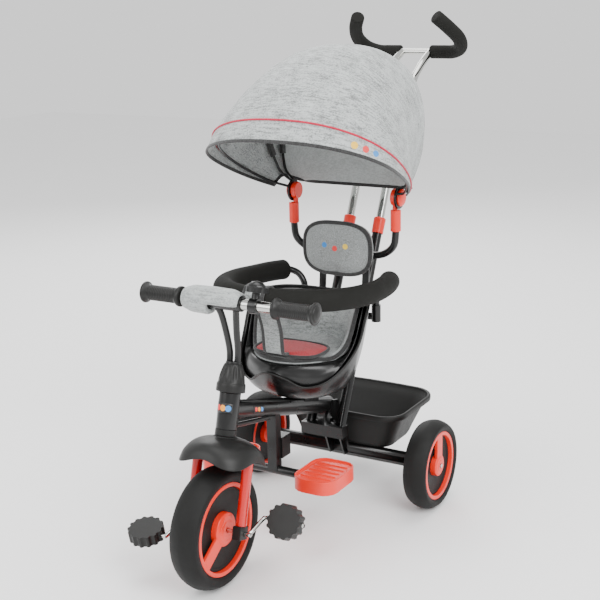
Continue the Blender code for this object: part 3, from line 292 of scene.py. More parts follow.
def plumped(name, mesh, reach, voxel=0.0045, pressure=4.0):
    """A padded form: remeshed, blown up by a cloth run, each point moved at most reach."""
    holder = bpy.data.objects.new(name, mesh)
    bpy.context.scene.collection.objects.link(holder)
    bpy.context.view_layer.objects.active = holder
    remesh = holder.modifiers.new("even", "REMESH")
    remesh.mode = "VOXEL"
    remesh.voxel_size = voxel
    graph = bpy.context.evaluated_depsgraph_get()
    even = bpy.data.meshes.new_from_object(holder.evaluated_get(graph))
    holder.modifiers.clear()
    holder.data = even
    start = np.zeros(len(even.vertices) * 3)
    even.vertices.foreach_get("co", start)
    start = start.reshape(-1, 3)
    cloth = holder.modifiers.new("plump", "CLOTH")
    cloth.settings.use_pressure = True
    cloth.settings.uniform_pressure_force = pressure
    cloth.settings.effector_weights.gravity = 0
    cloth.point_cache.frame_start, cloth.point_cache.frame_end = 1, 20
    for step in range(1, 21):
        bpy.context.scene.frame_set(step)
    graph = bpy.context.evaluated_depsgraph_get()
    blown = bpy.data.meshes.new_from_object(holder.evaluated_get(graph))
    moved = np.zeros(len(blown.vertices) * 3)
    blown.vertices.foreach_get("co", moved)
    away = moved.reshape(-1, 3) - start
    far = np.linalg.norm(away, axis=1, keepdims=True)
    kept = start + away * np.minimum(1, reach / np.maximum(far, 1e-9))
    even.vertices.foreach_set("co", kept.ravel())
    holder.modifiers.clear()
    bpy.context.scene.frame_set(1)
    bpy.data.objects.remove(holder)
    return even


def relaxed(made, rounds=6):
    """Evens out a remeshed surface and divides it once."""
    ease = made.modifiers.new("ease", "SMOOTH")
    ease.factor, ease.iterations = 0.5, rounds
    fine = made.modifiers.new("fine", "SUBSURF")
    fine.levels = fine.render_levels = 1


# ---------------------------------------------------------------- shader sums
class Wire:
    """A value in a material; arithmetic on it adds Math nodes."""

    def __init__(self, look, socket):
        self.look, self.socket = look, socket

    def math(self, operation, *values, clamp=False):
        return self.look.node("ShaderNodeMath", {"operation": operation, "use_clamp": clamp},
                              dict(enumerate(values)))

    def __add__(self, other):
        return self.math("ADD", self, other)

    __radd__ = __add__

    def __sub__(self, other):
        return self.math("SUBTRACT", self, other)

    def __rsub__(self, other):
        return self.math("SUBTRACT", other, self)

    def __mul__(self, other):
        return self.math("MULTIPLY", self, other)

    __rmul__ = __mul__

    def __lt__(self, other):
        return self.math("LESS_THAN", self, other)

    def __gt__(self, other):
        return self.math("GREATER_THAN", self, other)

    def sine(self):
        return self.math("SINE", self)

    def size(self):
        return self.math("ABSOLUTE", self)

    def clamped(self):
        return self.math("ADD", self, 0.0, clamp=True)


class Look:
    """A Principled material whose colour, roughness and bump come from nodes."""

    def __init__(self, name, **constants):
        self.material = bpy.data.materials.new(name)
        self.material.use_nodes = True
        self.tree = self.material.node_tree
        self.shader = self.tree.nodes["Principled BSDF"]
        for socket, value in constants.items():
            self.shader.inputs[socket.replace("_", " ")].default_value = value

    def node(self, kind, settings, inputs, output=0):
        """Adds one node: its settings, then its inputs' values or links."""
        made = self.tree.nodes.new(kind)
        for key, value in settings.items():
            setattr(made, key, value)
        for key, value in inputs.items():
            if isinstance(value, Wire):
                self.tree.links.new(value.socket, made.inputs[key])
            else:
                made.inputs[key].default_value = value
        return Wire(self, made.outputs[output])

    def where(self, kind="Object"):
        """Object coordinates, or the piece's own UV in metres."""
        return self.node("ShaderNodeTexCoord", {}, {}, kind)

    def stretched(self, vector, scale):
        return self.node("ShaderNodeVectorMath", {"operation": "MULTIPLY"},
                         {0: vector, 1: scale})

    def parts(self, vector):
        """The three numbers of a vector."""
        made = self.node("ShaderNodeSeparateXYZ", {}, {0: vector})
        return [Wire(self, made.socket.node.outputs[k]) for k in range(3)]

    def noise(self, vector, scale, detail=2.0, rough=0.5):
        return self.node("ShaderNodeTexNoise", {},
                         {"Vector": vector, "Scale": scale, "Detail": detail,
                          "Roughness": rough})

    def ramp(self, value, low, high):
        """Nothing below low, one above high, smooth between."""
        return self.node("ShaderNodeMapRange", {"interpolation_type": "SMOOTHSTEP"},
                         {"Value": value, "From Min": low, "From Max": high})

    def blend(self, share, first, second):
        """Two colours mixed."""
        return self.node("ShaderNodeMix", {"data_type": "RGBA"},
                         {0: share, 6: first, 7: second}, 2)

    def bump(self, height, strength, distance):
        return self.node("ShaderNodeBump", {}, {"Height": height, "Strength": strength,
                                                "Distance": distance})

    def feed(self, **links):
        """Links values to the shader's own sockets."""
        for socket, value in links.items():
            self.tree.links.new(value.socket, self.shader.inputs[socket.replace("_", " ")])
        return self.material


def rgba(colour, share=1.0):
    return (*(min(1.0, k * share) for k in colour[:3]), 1.0)


LOOKS = {}
THREAD = 0.0011                           # pitch of the heather cloth's threads
DOT_RED, DOT_AMBER, DOT_BLUE = (0.75, 0.03, 0.02), (0.85, 0.32, 0.02), (0.05, 0.25, 0.62)


def moulded(name, colour, roughness, grain=0.25, speck=0.12, gloss=0.0, grit=1400.0,
            shine=0.5):
    """Moulded plastic, paint or foam: fine grain, faint clouding, rubbed patches."""
    look = Look(name, IOR=1.5, Specular_IOR_Level=shine, Coat_Weight=gloss,
                Coat_Roughness=0.12)
    at = look.where()
    cloud = look.noise(at, 14.0, 3.0)
    fine = look.noise(at, grit, 2.0)
    tone = look.ramp(cloud * 0.7 + fine * 0.3, 0.3, 0.7)
    colour_wire = look.blend(tone, rgba(colour, 1 - speck), rgba(colour, 1 + speck))
    rub = look.noise(at, 60.0, 4.0, 0.65)
    rough = (rub - 0.5) * 0.18 + roughness
    normal = look.bump(fine, grain, 0.0003)
    return look.feed(Base_Color=colour_wire, Roughness=rough.clamped(), Normal=normal)


def plated(name, colour, roughness):
    """Plated steel: a faint cloud of fine scratches in the polish."""
    look = Look(name, Metallic=1.0)
    at = look.where()
    drawn = look.noise(look.stretched(at, (900.0, 900.0, 60.0)), 1.0, 2.0)
    haze = look.noise(at, 35.0, 3.0)
    rough = haze * 0.08 + drawn * 0.05 + roughness
    tone = look.blend(haze, rgba(colour, 0.92), rgba(colour, 1.05))
    return look.feed(Base_Color=tone, Roughness=rough.clamped(),
                     Normal=look.bump(drawn, 0.06, 0.0001))


def woven(name, pale, dark, pitch=THREAD, marks=(), seams=(), pale_from=None, by_uv=True,
          contrast=1.0):
    """Heather cloth: crossed threads, dark flecks along the weft, sewn lines and marks.

    marks are round printed spots (u, v, radius, colour); seams are distances v.
    """
    look = Look(name, Sheen_Weight=0.25, Sheen_Roughness=0.5, IOR=1.4)
    at = look.where("Object")
    on = look.where("UV") if by_uv else at
    u, v, w = look.parts(on)
    if not by_uv:
        v = v + w
    threads = ((u * (2 * math.pi / pitch)).sine() * (v * (2 * math.pi / pitch)).sine())
    fleck = look.noise(look.stretched(at, (260.0, 260.0, 420.0)), 1.0, 4.0, 0.7)
    slub = look.noise(look.stretched(on, (45.0, 300.0, 300.0)), 1.0, 2.0)
    cloud = look.noise(at, 26.0, 4.0, 0.6)
    share = look.ramp(fleck * 0.5 + slub * 0.3 + cloud * 0.2, 0.5 - 0.13 * contrast,
                      0.5 + 0.09 * contrast)
    colour = look.blend(share, rgba(dark), rgba(pale))
    if pale_from is not None:
        panel = v > pale_from
        colour = look.blend(panel * 0.5, colour, rgba(pale, 1.25))
    for mark_u, mark_v, radius, mark_colour in marks:
        du, dv = u - mark_u, v - mark_v
        spot = (du * du + dv * dv) < radius * radius
        colour = look.blend(spot * 0.92, colour, rgba(mark_colour))
    height = threads * 0.5 + fleck * 0.8
    for seam in seams:
        near = (v - seam).size()
        height = height - (1 - look.ramp(near, 0.0, 0.0022)) * 6.0
    rough = fleck * 0.1 + 0.86
    return look.feed(Base_Color=colour, Roughness=rough,
                     Normal=look.bump(height, 0.55, 0.00035))


def make_looks(colours):
    """Every finish of the tricycle, by the record's slots and by use."""
    red, bright, grey = colours.painted_red, colours.moulded_red, colours.cloth_grey
    LOOKS["tyre"] = moulded("eva_tyre", colours.tyre_black, 0.62, 0.35, 0.16, grit=900.0,
                            shine=0.22)
    LOOKS["foam"] = moulded("grip_foam", colours.foam_black, 0.86, 0.6, 0.10, grit=1800.0,
                            shine=0.18)
    LOOKS["rim"] = moulded("moulded_red", bright, 0.34, 0.10, 0.05)
    LOOKS["disc"] = moulded("wheel_disc", colours.plastic_black, 0.55, 0.5, 0.15, shine=0.22)
    LOOKS["plastic"] = moulded("black_plastic", colours.plastic_black, 0.42, 0.3, 0.12,
                               shine=0.3)
    LOOKS["basket"] = moulded("basket_plastic", colours.plastic_black, 0.50, 0.55, 0.10,
                              grit=1100.0, shine=0.25)
    LOOKS["gloss"] = moulded("seat_plastic", colours.seat_black, 0.30, 0.03, 0.08, gloss=0.12,
                             grit=500.0, shine=0.35)
    LOOKS["paint"] = moulded("black_enamel", colours.seat_black, 0.30, 0.03, 0.10, gloss=0.15,
                             grit=500.0, shine=0.35)
    LOOKS["red_paint"] = moulded("red_enamel", red, 0.24, 0.03, 0.05, gloss=0.5, grit=500.0)
    LOOKS["chrome"] = plated("chrome", (0.52, 0.52, 0.50), 0.05)
    LOOKS["zinc"] = plated("zinc", (0.55, 0.55, 0.56), 0.28)
    LOOKS["binding"] = woven("black_binding", (0.035, 0.035, 0.035), (0.012, 0.012, 0.012),
                             0.0014)
    # The strap, liner and sleeve are the canopy's one heather cloth: their pale thread is set
    # darker than the canopy's as painted shade, most on the strap and liner inside the seat.
    LOOKS["strap"] = woven("strap_cloth_painted_shade", rgba(grey, 0.74)[:3], rgba(grey, 0.28)[:3])
    LOOKS["liner"] = woven("liner_cloth_painted_shade", rgba(grey, 0.80)[:3], rgba(grey, 0.32)[:3])
    LOOKS["sleeve"] = woven("sleeve_cloth_painted_shade", rgba(grey, 0.92)[:3], rgba(grey, 0.45)[:3],
                            by_uv=False)
    LOOKS["crimson"] = woven("crimson_cloth", colours.pad_crimson,
                             rgba(colours.pad_crimson, 0.6)[:3], by_uv=False, contrast=1.4)
    LOOKS["piping"] = woven("red_piping", (0.55, 0.012, 0.05), (0.35, 0.006, 0.03))


# ---------------------------------------------------------------- settings
def colour_of(name, text, default):
    return bpy.props.FloatVectorProperty(name=name, description=text, default=default,
                                         subtype="COLOR", size=3, min=0.0, max=1.0)


def length_of(name, text, default):
    return bpy.props.FloatProperty(name=name, description=text, default=default, min=0.0,
                                   unit="LENGTH", subtype="DISTANCE", precision=4)


class TricycleColours(bpy.types.PropertyGroup):
    """Colours of the finishes."""
    cloth_grey: colour_of("Cloth", "Pale thread of the heather cloth", (0.44, 0.465, 0.46))
    painted_red: colour_of("Fork", "Enamel of the fork", (0.56, 0.002, 0.002))
    moulded_red: colour_of("Red plastic", "Rims, footrests, collars", (0.80, 0.022, 0.005))
    pad_crimson: colour_of("Seat pad", "Cloth of the seat pad", (0.46, 0.003, 0.014))
    tyre_black: colour_of("Tyres", "Foam of the tyres", (0.0065, 0.0065, 0.0062))
    foam_black: colour_of("Foam", "Foam of the grips and the bar", (0.0100, 0.0100, 0.0088))
    plastic_black: colour_of("Black plastic", "Small mouldings", (0.0085, 0.0085, 0.0080))
    seat_black: colour_of("Seat", "Glossy seat and enamel", (0.0035, 0.0035, 0.0035))


class TricycleSizes(bpy.types.PropertyGroup):
    """Sizes a user may want to change."""
    piping: length_of("Piping", "Radius of the red piping", 0.0021)
    binding: length_of("Binding", "Half the width of the cloth binding", 0.0036)
    sag: length_of("Sag", "How far the canopy dips between its ribs", 0.0040)
    bar_foam: length_of("Bar foam", "Radius of the safety bar's foam", 0.0225)
    grip_foam: length_of("Grip foam", "Radius of the push handle's foam", 0.0158)
    floor: length_of("Floor", "Width of the floor", 14.0)


# ---------------------------------------------------------------- wheels
def wheel(name, body, centre, radius, rim_r, half, hub_r, hub_half, bore, spoke):
    """Foam tyre, red ring with hub and spokes, black disc; all turned about X."""
    at = Matrix.Translation(centre.tolist()) @ ALONG_X
    seat = rim_r + GAP
    t = np.radians(np.linspace(68, -68, 45))
    crown = np.stack([radius - 0.62 * (radius - seat) * (1 - np.cos(t)) ** 0.8,
                      half * np.sin(t) / math.sin(math.radians(74))], axis=1)
    low = seat + 0.35 * (radius - seat)
    ends = np.array([(seat, half * 0.86), (low, half)])
    profile = np.concatenate([filleted(np.concatenate([ends, crown[:1]]), 0.004, False), crown,
                              filleted(np.concatenate([crown[-1:], ends[::-1] * [1, -1]]),
                                       0.004, False)])
    Skin().add(turn(profile, 144, at), around=True, along=True).build(
        name + "_foam_tyre", body, "tyre_foam", LOOKS["tyre"], [name + "_tyre"], 70)
    ring_half, ring_in = half * 0.87, rim_r - 0.0085
    ring = [(rim_r, ring_half), (rim_r, -ring_half), (ring_in, -ring_half),
            (ring_in, ring_half)]
    hub = [(bore, hub_half), (hub_r * 0.52, hub_half), (hub_r * 0.56, hub_half - 0.0012),
           (hub_r * 0.74, hub_half - 0.0008), (hub_r, hub_half - 0.0035)]
    hub += [(r, -h) for r, h in reversed(hub)]
    rim = Skin().add(turn(filleted(ring, 0.0015), 144, at), around=True, along=True)
    rim.add(turn(filleted(hub, 0.0020), 96, at), around=True, along=True)
    way = np.array([0.0, math.cos(spoke), math.sin(spoke)])
    reach = np.linspace(hub_r * 0.6, rim_r - 0.004, 12)[:, None]
    for face in (1, -1):
        path = centre + way * reach + np.array([face * (ring_half - 0.0045), 0, 0])
        rim.add(sweep(path, block(0.027, 0.0080, 0.0018), (1, 0, 0)), around=True, caps=True)
    rim.build(name + "_red_rim", body, "red_plastic", LOOKS["rim"], [name + "_rim"], 45)
    deep = ring_half - 0.0090
    wall = [(ring_in - GAP, deep), (ring_in - 0.006, deep - 0.0005),
            (ring_in - 0.008, deep - 0.0022), (hub_r + GAP, deep - 0.004)]
    wall += [(r, -h) for r, h in reversed(wall)]
    Skin().add(turn(filleted(wall, 0.0012), 144, at), around=True, along=True).build(
        name + "_wheel_disc", body, "black_plastic", LOOKS["disc"], [name + "_disc"], 50)


class TRICYCLE_OT_wheels(bpy.types.Operator):
    """Builds the three wheels, the crank and the pedals"""
    bl_idname = "tricycle.wheels"
    bl_label = "Wheels and pedals"

    def execute(self, context):
        wheel("front", "front_wheel", AXLE, FRONT_R, 0.0926, 0.0306, 0.0335, 0.0290,
              0.0044, math.radians(214))
        for side, word in ((1, "left"), (-1, "right")):
            centre = np.array([side * REAR_X, REAR_Y, REAR_R])
            wheel("rear_" + word, "rear_wheel_" + word, centre, REAR_R, 0.0764, 0.0270,
                  0.0240, 0.0255, 0.0051, math.radians(90))
            refined("pedal_" + word, "pedal_" + word, LOOKS["plastic"],
                    0.0012)
        throw, stand = 0.0505, math.radians(23)
        y, z = throw * math.cos(stand), throw * math.sin(stand)
        half = [(0.1695, y, z), (0.092, y, z), (0.086, 0.94 * y, 0.94 * z),
                (0.083, 0.75 * y, 0.75 * z), (0.079, 0.25 * y, 0.25 * z),
                (0.075, 0.06 * y, 0.06 * z), (0.070, 0, 0)]
        path = np.concatenate([half, -np.array(half[::-1])])
        rod = sweep(AXLE + trace(path, 220, tip=0.0015), circle(0.0041, 24),
                    (0, -math.sin(stand), math.cos(stand)))
        Skin().add(rod, around=True, caps=True).build(
            "crank_wire", "front_wheel", "chrome", LOOKS["chrome"], ["crank"])
        return {"FINISHED"}


# ---------------------------------------------------------------- steering
class TRICYCLE_OT_steering(bpy.types.Operator):
    """Builds the fork, its cover, the stem and the handlebar"""
    bl_idname = "tricycle.steering"
    bl_label = "Fork and handlebar"

    def execute(self, context):
        leg = 0.0575
        half = [(leg, 0, 0.0145), (leg, 0, 0.070), (leg, 0, 0.1300), (leg, 0, 0.1405),
                (leg - 0.0045, 0, 0.1500), (leg - 0.0140, 0, 0.1550),
                (leg - 0.0280, 0, 0.1560), (leg - 0.045, 0, 0.1560), (0, 0, 0.1560)]
        legs = sweep(trace(both_sides(half), 180, tip=0.002), circle(0.0105), (0, 1, 0))
        fork = Skin().add(carry(legs, STEER), around=True, caps=True)
        fork.add(turn([(0.0125, 0.152), (0.0125, 0.310)], 48, STEER), around=True, caps=True)
        fork.build("fork_tube", "steering", "red_steel", LOOKS["red_paint"], ["fork"])
        self.cover()
        self.stem()
        self.bar(context)
        for word in ("left", "right"):
            refined("fork_end_" + word, "steering", LOOKS["plastic"], 0.002)
        refined("bell_base", "steering", LOOKS["gloss"], 0.0006)
        refined("bell_dial", "bell", LOOKS["gloss"], 0.0009)
        return {"FINISHED"}

    def cover(self):
        """The mudguard: radius and height of each ring wave four times round."""
        a = np.linspace(0, 2 * math.pi, 144, endpoint=False)
        wave = 0.5 - 0.5 * np.cos(4 * a)
        sizes = [(0.1790, 0.0215, 0.0, 0.0), (0.1765, 0.0250, 0.001, 0.0),
                 (0.1735, 0.0420, 0.003, 0.002), (0.1660, 0.0600, 0.005, 0.005),
                 (0.1540, 0.0710, 0.008, 0.009), (0.1400, 0.0750, 0.010, 0.013),
                 (0.1392, 0.0738, 0.010, 0.013), (0.1400, 0.0728, 0.010, 0.013),
                 (0.1535, 0.0690, 0.008, 0.009), (0.1640, 0.0590, 0.005, 0.005),
                 (0.1712, 0.0410, 0.003, 0.002), (0.1740, 0.0140, 0.0, 0.0),
                 (0.1785, 0.0135, 0.0, 0.0)]
        rows = np.array([np.stack([(r + lobe * wave) * np.cos(a), (r + lobe * wave) * np.sin(a),
                                   h - droop * wave], axis=1) for h, r, lobe, droop in sizes])
        Skin().add(carry(flow(rows, 5, True), STEER), around=True, along=True).build(
            "fork_mudguard", "steering", "black_plastic", LOOKS["plastic"], ["fork_cover"], 50)

    def stem(self):
        """Two tubes that spread as they rise into the clamp round the bar."""
        stem = Skin()
        for side in (1, -1):
            path = trace([(side * 0.0085, 0.0, 0.3180), (side * 0.0095, -0.004, 0.3450),
                          (side * 0.0120, -0.020, 0.3800), (side * 0.0165, -0.036, 0.4120),
                          (side * 0.0205, BAR_Q, BAR_H - 0.0105)], 48)
            stem.add(carry(sweep(path, circle(0.0065, 24), (1, 0, 0)), STEER), around=True,
                     caps=True)
        stem.add(turn(filleted([(0.0128, 0.2920), (0.0155, 0.2920), (0.0155, 0.3240),
                                (0.0128, 0.3240)], 0.001), 48, STEER), around=True, along=True)
        stem.add(turn([(0.0130, 0.3225), (0.0130, 0.3232)], 48, STEER), around=True, caps=True)
        clamp = STEER @ Matrix.Translation((0, BAR_Q, BAR_H)) @ ALONG_X
        stem.add(turn(filleted([(0.0108, 0.034), (0.0145, 0.034), (0.0145, -0.034),
                                (0.0108, -0.034)], 0.0012), 48, clamp), around=True, along=True)
        stem.build("stem_tubes", "steering", "black_steel", LOOKS["paint"], ["stem"])
        a = np.linspace(0, 2 * math.pi, 128, endpoint=False)
        flute = np.cos(12 * a)
        sizes = [(0.3190, 0.0170, 0), (0.3165, 0.0182, 0.0003), (0.3120, 0.0192, 0.0009),
                 (0.3000, 0.0224, 0.0014), (0.2880, 0.0252, 0.0006), (0.2820, 0.0265, 0),
                 (0.2805, 0.0281, 0), (0.2670, 0.0286, 0), (0.2655, 0.0280, 0),
                 (0.2655, 0.0262, 0), (0.2710, 0.0255, 0), (0.2960, 0.0200, 0),
                 (0.3110, 0.0158, 0), (0.3190, 0.0158, 0)]
        rows = np.array([np.stack([(r + f * flute) * np.cos(a), (r + f * flute) * np.sin(a),
                                   h + 0 * a], axis=1) for h, r, f in sizes])
        Skin().add(carry(flow(rows, 3, True), STEER), around=True, along=True).build(
            "fluted_boot", "steering", "black_plastic", LOOKS["plastic"], ["stem_boot"], 60)

    def bar(self, context):
        """Chrome bar, ribbed grips with flanges, and the padded cloth sleeve."""
        at = STEER @ Matrix.Translation((0, BAR_Q, BAR_H)) @ ALONG_X
        Skin().add(turn(filleted([(0.0095, 0.1885), (0.0105, 0.1885), (0.0105, -0.1885),
                                  (0.0095, -0.1885)], 0.0008, False), 64, at),
                   around=True, caps=True).build(
            "chrome_bar", "steering", "chrome", LOOKS["chrome"], ["handlebar"])
        along = np.linspace(0.018, 0.078, 121)
        ribs = np.stack([0.0149 + 0.0005 * np.sin(along * 2 * math.pi / 0.0040), along], axis=1)
        lead = filleted([(0.0108, 0.0010), (0.0150, 0.0010), (0.0203, 0.0040),
                         (0.0203, 0.0095), (0.0150, 0.0155)], 0.0015, False)
        knob = filleted([(0.0150, 0.0805), (0.0213, 0.0880), (0.0213, 0.0918),
                         (0.0160, 0.0920), (0.0150, 0.0944), (0.0060, 0.0972),
                         (0.0, 0.0976)], 0.0016, False)
        grip = np.concatenate([lead, ribs, knob])
        for side, word in ((1, "left"), (-1, "right")):
            flip = at @ Matrix.Rotation(0 if side > 0 else math.pi, 4, "X")
            stand = flip @ Matrix.Translation((0, 0, 0.1015))
            Skin().add(turn(grip, 64, stand), around=True).build(
                "ribbed_grip_" + word, "steering", "black_plastic", LOOKS["plastic"],
                ["grip_" + word], 50)
        soft = plumped("sleeve", copied("bar_sleeve", False), 0.0016, 0.0030, 2.0)
        sleeve = finished("padded_sleeve", soft, "steering", LOOKS["sleeve"],
                          ["bar_sleeve"], 180)
        relaxed(sleeve, 4)


# ---------------------------------------------------------------- frame
LABEL_GROUND = (0.012, 0.012, 0.012)


def sticker(name, body, grid, ground):
    """A thin printed label with three round spots, on a curved grid of points."""
    look = Look(name + "_print", Roughness=0.3, IOR=1.5)
    u, v, _ = look.parts(look.where("UV"))
    wide, tall = (np.linalg.norm(np.diff(grid, axis=k), axis=2).sum(k).mean() for k in (1, 0))
    grime = look.noise(look.where(), 90.0, 3.0)
    colour = look.blend(grime, rgba(ground, 0.9), rgba(ground, 1.05))
    for share, spot in ((0.22, DOT_RED), (0.5, DOT_AMBER), (0.78, DOT_BLUE)):
        du, dv = u - wide * share, v - tall / 2
        inside = (du * du + dv * dv) < (tall * 0.30) ** 2
        colour = look.blend(inside, colour, rgba(spot))
    look.feed(Base_Color=colour, Roughness=grime * 0.1 + 0.28)
    made = Skin().add(grid).build(name, body, "black_plastic", look.material, angle=180)
    wall = made.modifiers.new("film", "SOLIDIFY")
    wall.thickness, wall.offset = 0.00015, 0


class TRICYCLE_OT_frame(bpy.types.Operator):
    """Builds the finished surfaces of the frame, the axle and the footrests"""
    bl_idname = "tricycle.frame"
    bl_label = "Frame and footrests"

    def execute(self, context):
        tube = [(0.0180, 0.1925), (0.0210, 0.1925), (0.0210, 0.2640), (0.0180, 0.2640)]
        Skin().add(turn(filleted(tube, 0.0012), 72, STEER), around=True, along=True).build(
            "steering_head", "frame", "black_steel", LOOKS["paint"], ["head_tube"])
        for node in ("head_bush_lower", "head_bush_upper"):
            refined(node, "frame", LOOKS["plastic"], 0.0006)
        refined("footrest_bracket", "frame", LOOKS["paint"], 0.0010)
        for node in ("main_beam", "lower_stay", "rear_axle_frame", "handle_lower"):
            refined(node, "frame", LOOKS["paint"], 0)
        refined("rear_axle_shaft", "frame", LOOKS["zinc"], 0.0008)
        for word in ("left", "right"):
            refined("footrest_" + word, "footrest_" + word, LOOKS["rim"],
                    0.0018)
            refined("handle_collar_" + word, "frame", LOOKS["rim"], 0.0008)
        self.back_frame()
        self.labels()
        return {"FINISHED"}

    def back_frame(self):
        """Two flat uprights and the bent tube that carries the canopy."""
        half = [(0.1272, 0.5455, 0.6470), (0.1272, 0.5455, 0.6280), (0.1272, 0.5455, 0.6130),
                (0.1230, 0.5460, 0.5860), (0.1060, 0.5480, 0.5680), (0.0800, 0.5510, 0.5580),
                (0.0400, 0.5530, 0.5555), (0.0, 0.5530, 0.5550)]
        frame = Skin().add(sweep(trace(place(both_sides(half)), 120), circle(0.0080),
                                 (0, 1, 0)), around=True, caps=True)
        lean = math.atan2(0.012, 0.120)
        reach = np.linspace(-0.078, 0.078, 9)
        for side in (1, -1):
            path = np.stack([0 * reach + side * 0.054, 0.5430 + math.sin(lean) * reach,
                             0.4880 + math.cos(lean) * reach], axis=1)
            frame.add(sweep(place(path), block(0.0160, 0.0060, 0.0012), (0, 1, 0)),
                      around=True, caps=True)
        frame.build("back_tubes", "frame", "black_steel", LOOKS["paint"], ["back_frame"])

    def labels(self):
        """Plain spotted labels on the head tube and on the beam's sides."""
        a = np.linspace(-0.95, 0.95, 25)
        h = np.linspace(0.2240, 0.2440, 6)[:, None]
        r = 0.0213
        grid = np.stack([r * np.sin(a) + 0 * h, -r * np.cos(a) + 0 * h, h + 0 * a], axis=-1)
        sticker("head_label", "frame", carry(grid, STEER), LABEL_GROUND)
        for side, word in ((1, "left"), (-1, "right")):
            y = np.linspace(0.128, 0.166, 17)
            a = np.linspace(-0.42, 0.42, 9)[:, None]
            drop = (0.226 - 0.341) / (0.462 - 0.073)
            x = side * (0.0163 * np.cos(a) + 0 * y)
            z = 0.341 + drop * (y - 0.073) + 0.0194 * np.sin(a)
            sticker("beam_label_" + word, "frame",
                    place(np.stack([x, y + 0 * a, z], axis=-1)), LABEL_GROUND)


# ---------------------------------------------------------------- push handle
class TRICYCLE_OT_handle(bpy.types.Operator):
    """Builds the chrome push bar and its horn-shaped foam grips"""
    bl_idname = "tricycle.handle"
    bl_label = "Push handle"

    def execute(self, context):
        sizes = context.scene.tricycle_sizes
        y, z = CROSSBAR
        horn = [(POST_X, y, z), (0.0700, y, z), (0.0980, y - 0.001, z + 0.001),
                (0.1225, y - 0.018, z + 0.012), (0.1310, y - 0.050, z + 0.034),
                (0.1200, y - 0.084, z + 0.059), (0.0990, y - 0.113, z + 0.086)]
        lean = np.array([math.sin(HANDLE_LEAN), math.cos(HANDLE_LEAN)])
        start = np.array(COLLAR_TOP)
        core = Skin().add(sweep(trace(place([(-0.040, y, z), (0, y, z), (0.040, y, z)]), 24),
                                circle(0.0081), (0, 0, 1)), around=True, caps=True)
        bend = [start + lean * 0.160, (0.780, 0.842), (0.826, 0.914), (0.862, 0.944),
                (0.893, 0.962), CROSSBAR]
        straight = [start + lean * s for s in (-0.160, -0.08, 0.0, 0.08, 0.120)]
        for side in (1, -1):
            path = np.array([(side * POST_X, *p) for p in [*straight, *bend]])
            core.add(sweep(place(trace(path, 130)), circle(0.0090), (1, 0, 0)), around=True,
                     caps=True)
        core.build("chrome_push_bar", "push_handle", "chrome", LOOKS["chrome"], ["push_bar"])
        for side, word in ((1, "left"), (-1, "right")):
            path = trace(place(np.array(horn) * [side, 1, 1]), 90, tip=0.004)[3:]
            foam = sweep(path, circle(sizes.grip_foam, 40), (0.0, 0.62, 0.78),
                         round_tip(path, sizes.grip_foam, 0.0035))
            made = Skin().add(foam, around=True, caps=True).build(
                "foam_horn_" + word, "push_handle", "grip_foam", LOOKS["foam"],
                ["push_grip_" + word], 60)
        return {"FINISHED"}


# ---------------------------------------------------------------- seat
SEAT_RIM = [(0.0, 0.210, 0.374), (0.032, 0.222, 0.362), (0.064, 0.243, 0.342),
            (0.100, 0.268, 0.350), (0.126, 0.305, 0.378), (0.139, 0.342, 0.416),
            (0.1415, 0.370, 0.465), (0.136, 0.398, 0.490), (0.114, 0.445, 0.492),
            (0.080, 0.477, 0.489), (0.040, 0.494, 0.485), (0.0, 0.499, 0.484)]
SEAT_MIDDLE = np.array([0.0, 0.350, 0.0])
PLATEAU_Z, SEAT_BASE_Z = 0.3830, 0.3010
SEAT_COUNT = 168


def seat_lines():
    """Rim, way out from the middle and its angle, for each column of the seat."""
    mirror = [(-x, y, z) for x, y, z in reversed(SEAT_RIM[1:-1])]
    rim = trace(SEAT_RIM + mirror, SEAT_COUNT, closed=True)
    out = (rim - SEAT_MIDDLE) * [1, 1, 0]
    return rim, unit(out), np.arctan2(out[:, 1], out[:, 0])


def seat_oval(angle, radius_x, radius_y, z, behind=0.0):
    """An oval ring about the middle of the seat."""
    return np.stack([radius_x * np.cos(angle), SEAT_MIDDLE[1] + behind
                     + radius_y * np.sin(angle), np.full(len(angle), z)], axis=1)


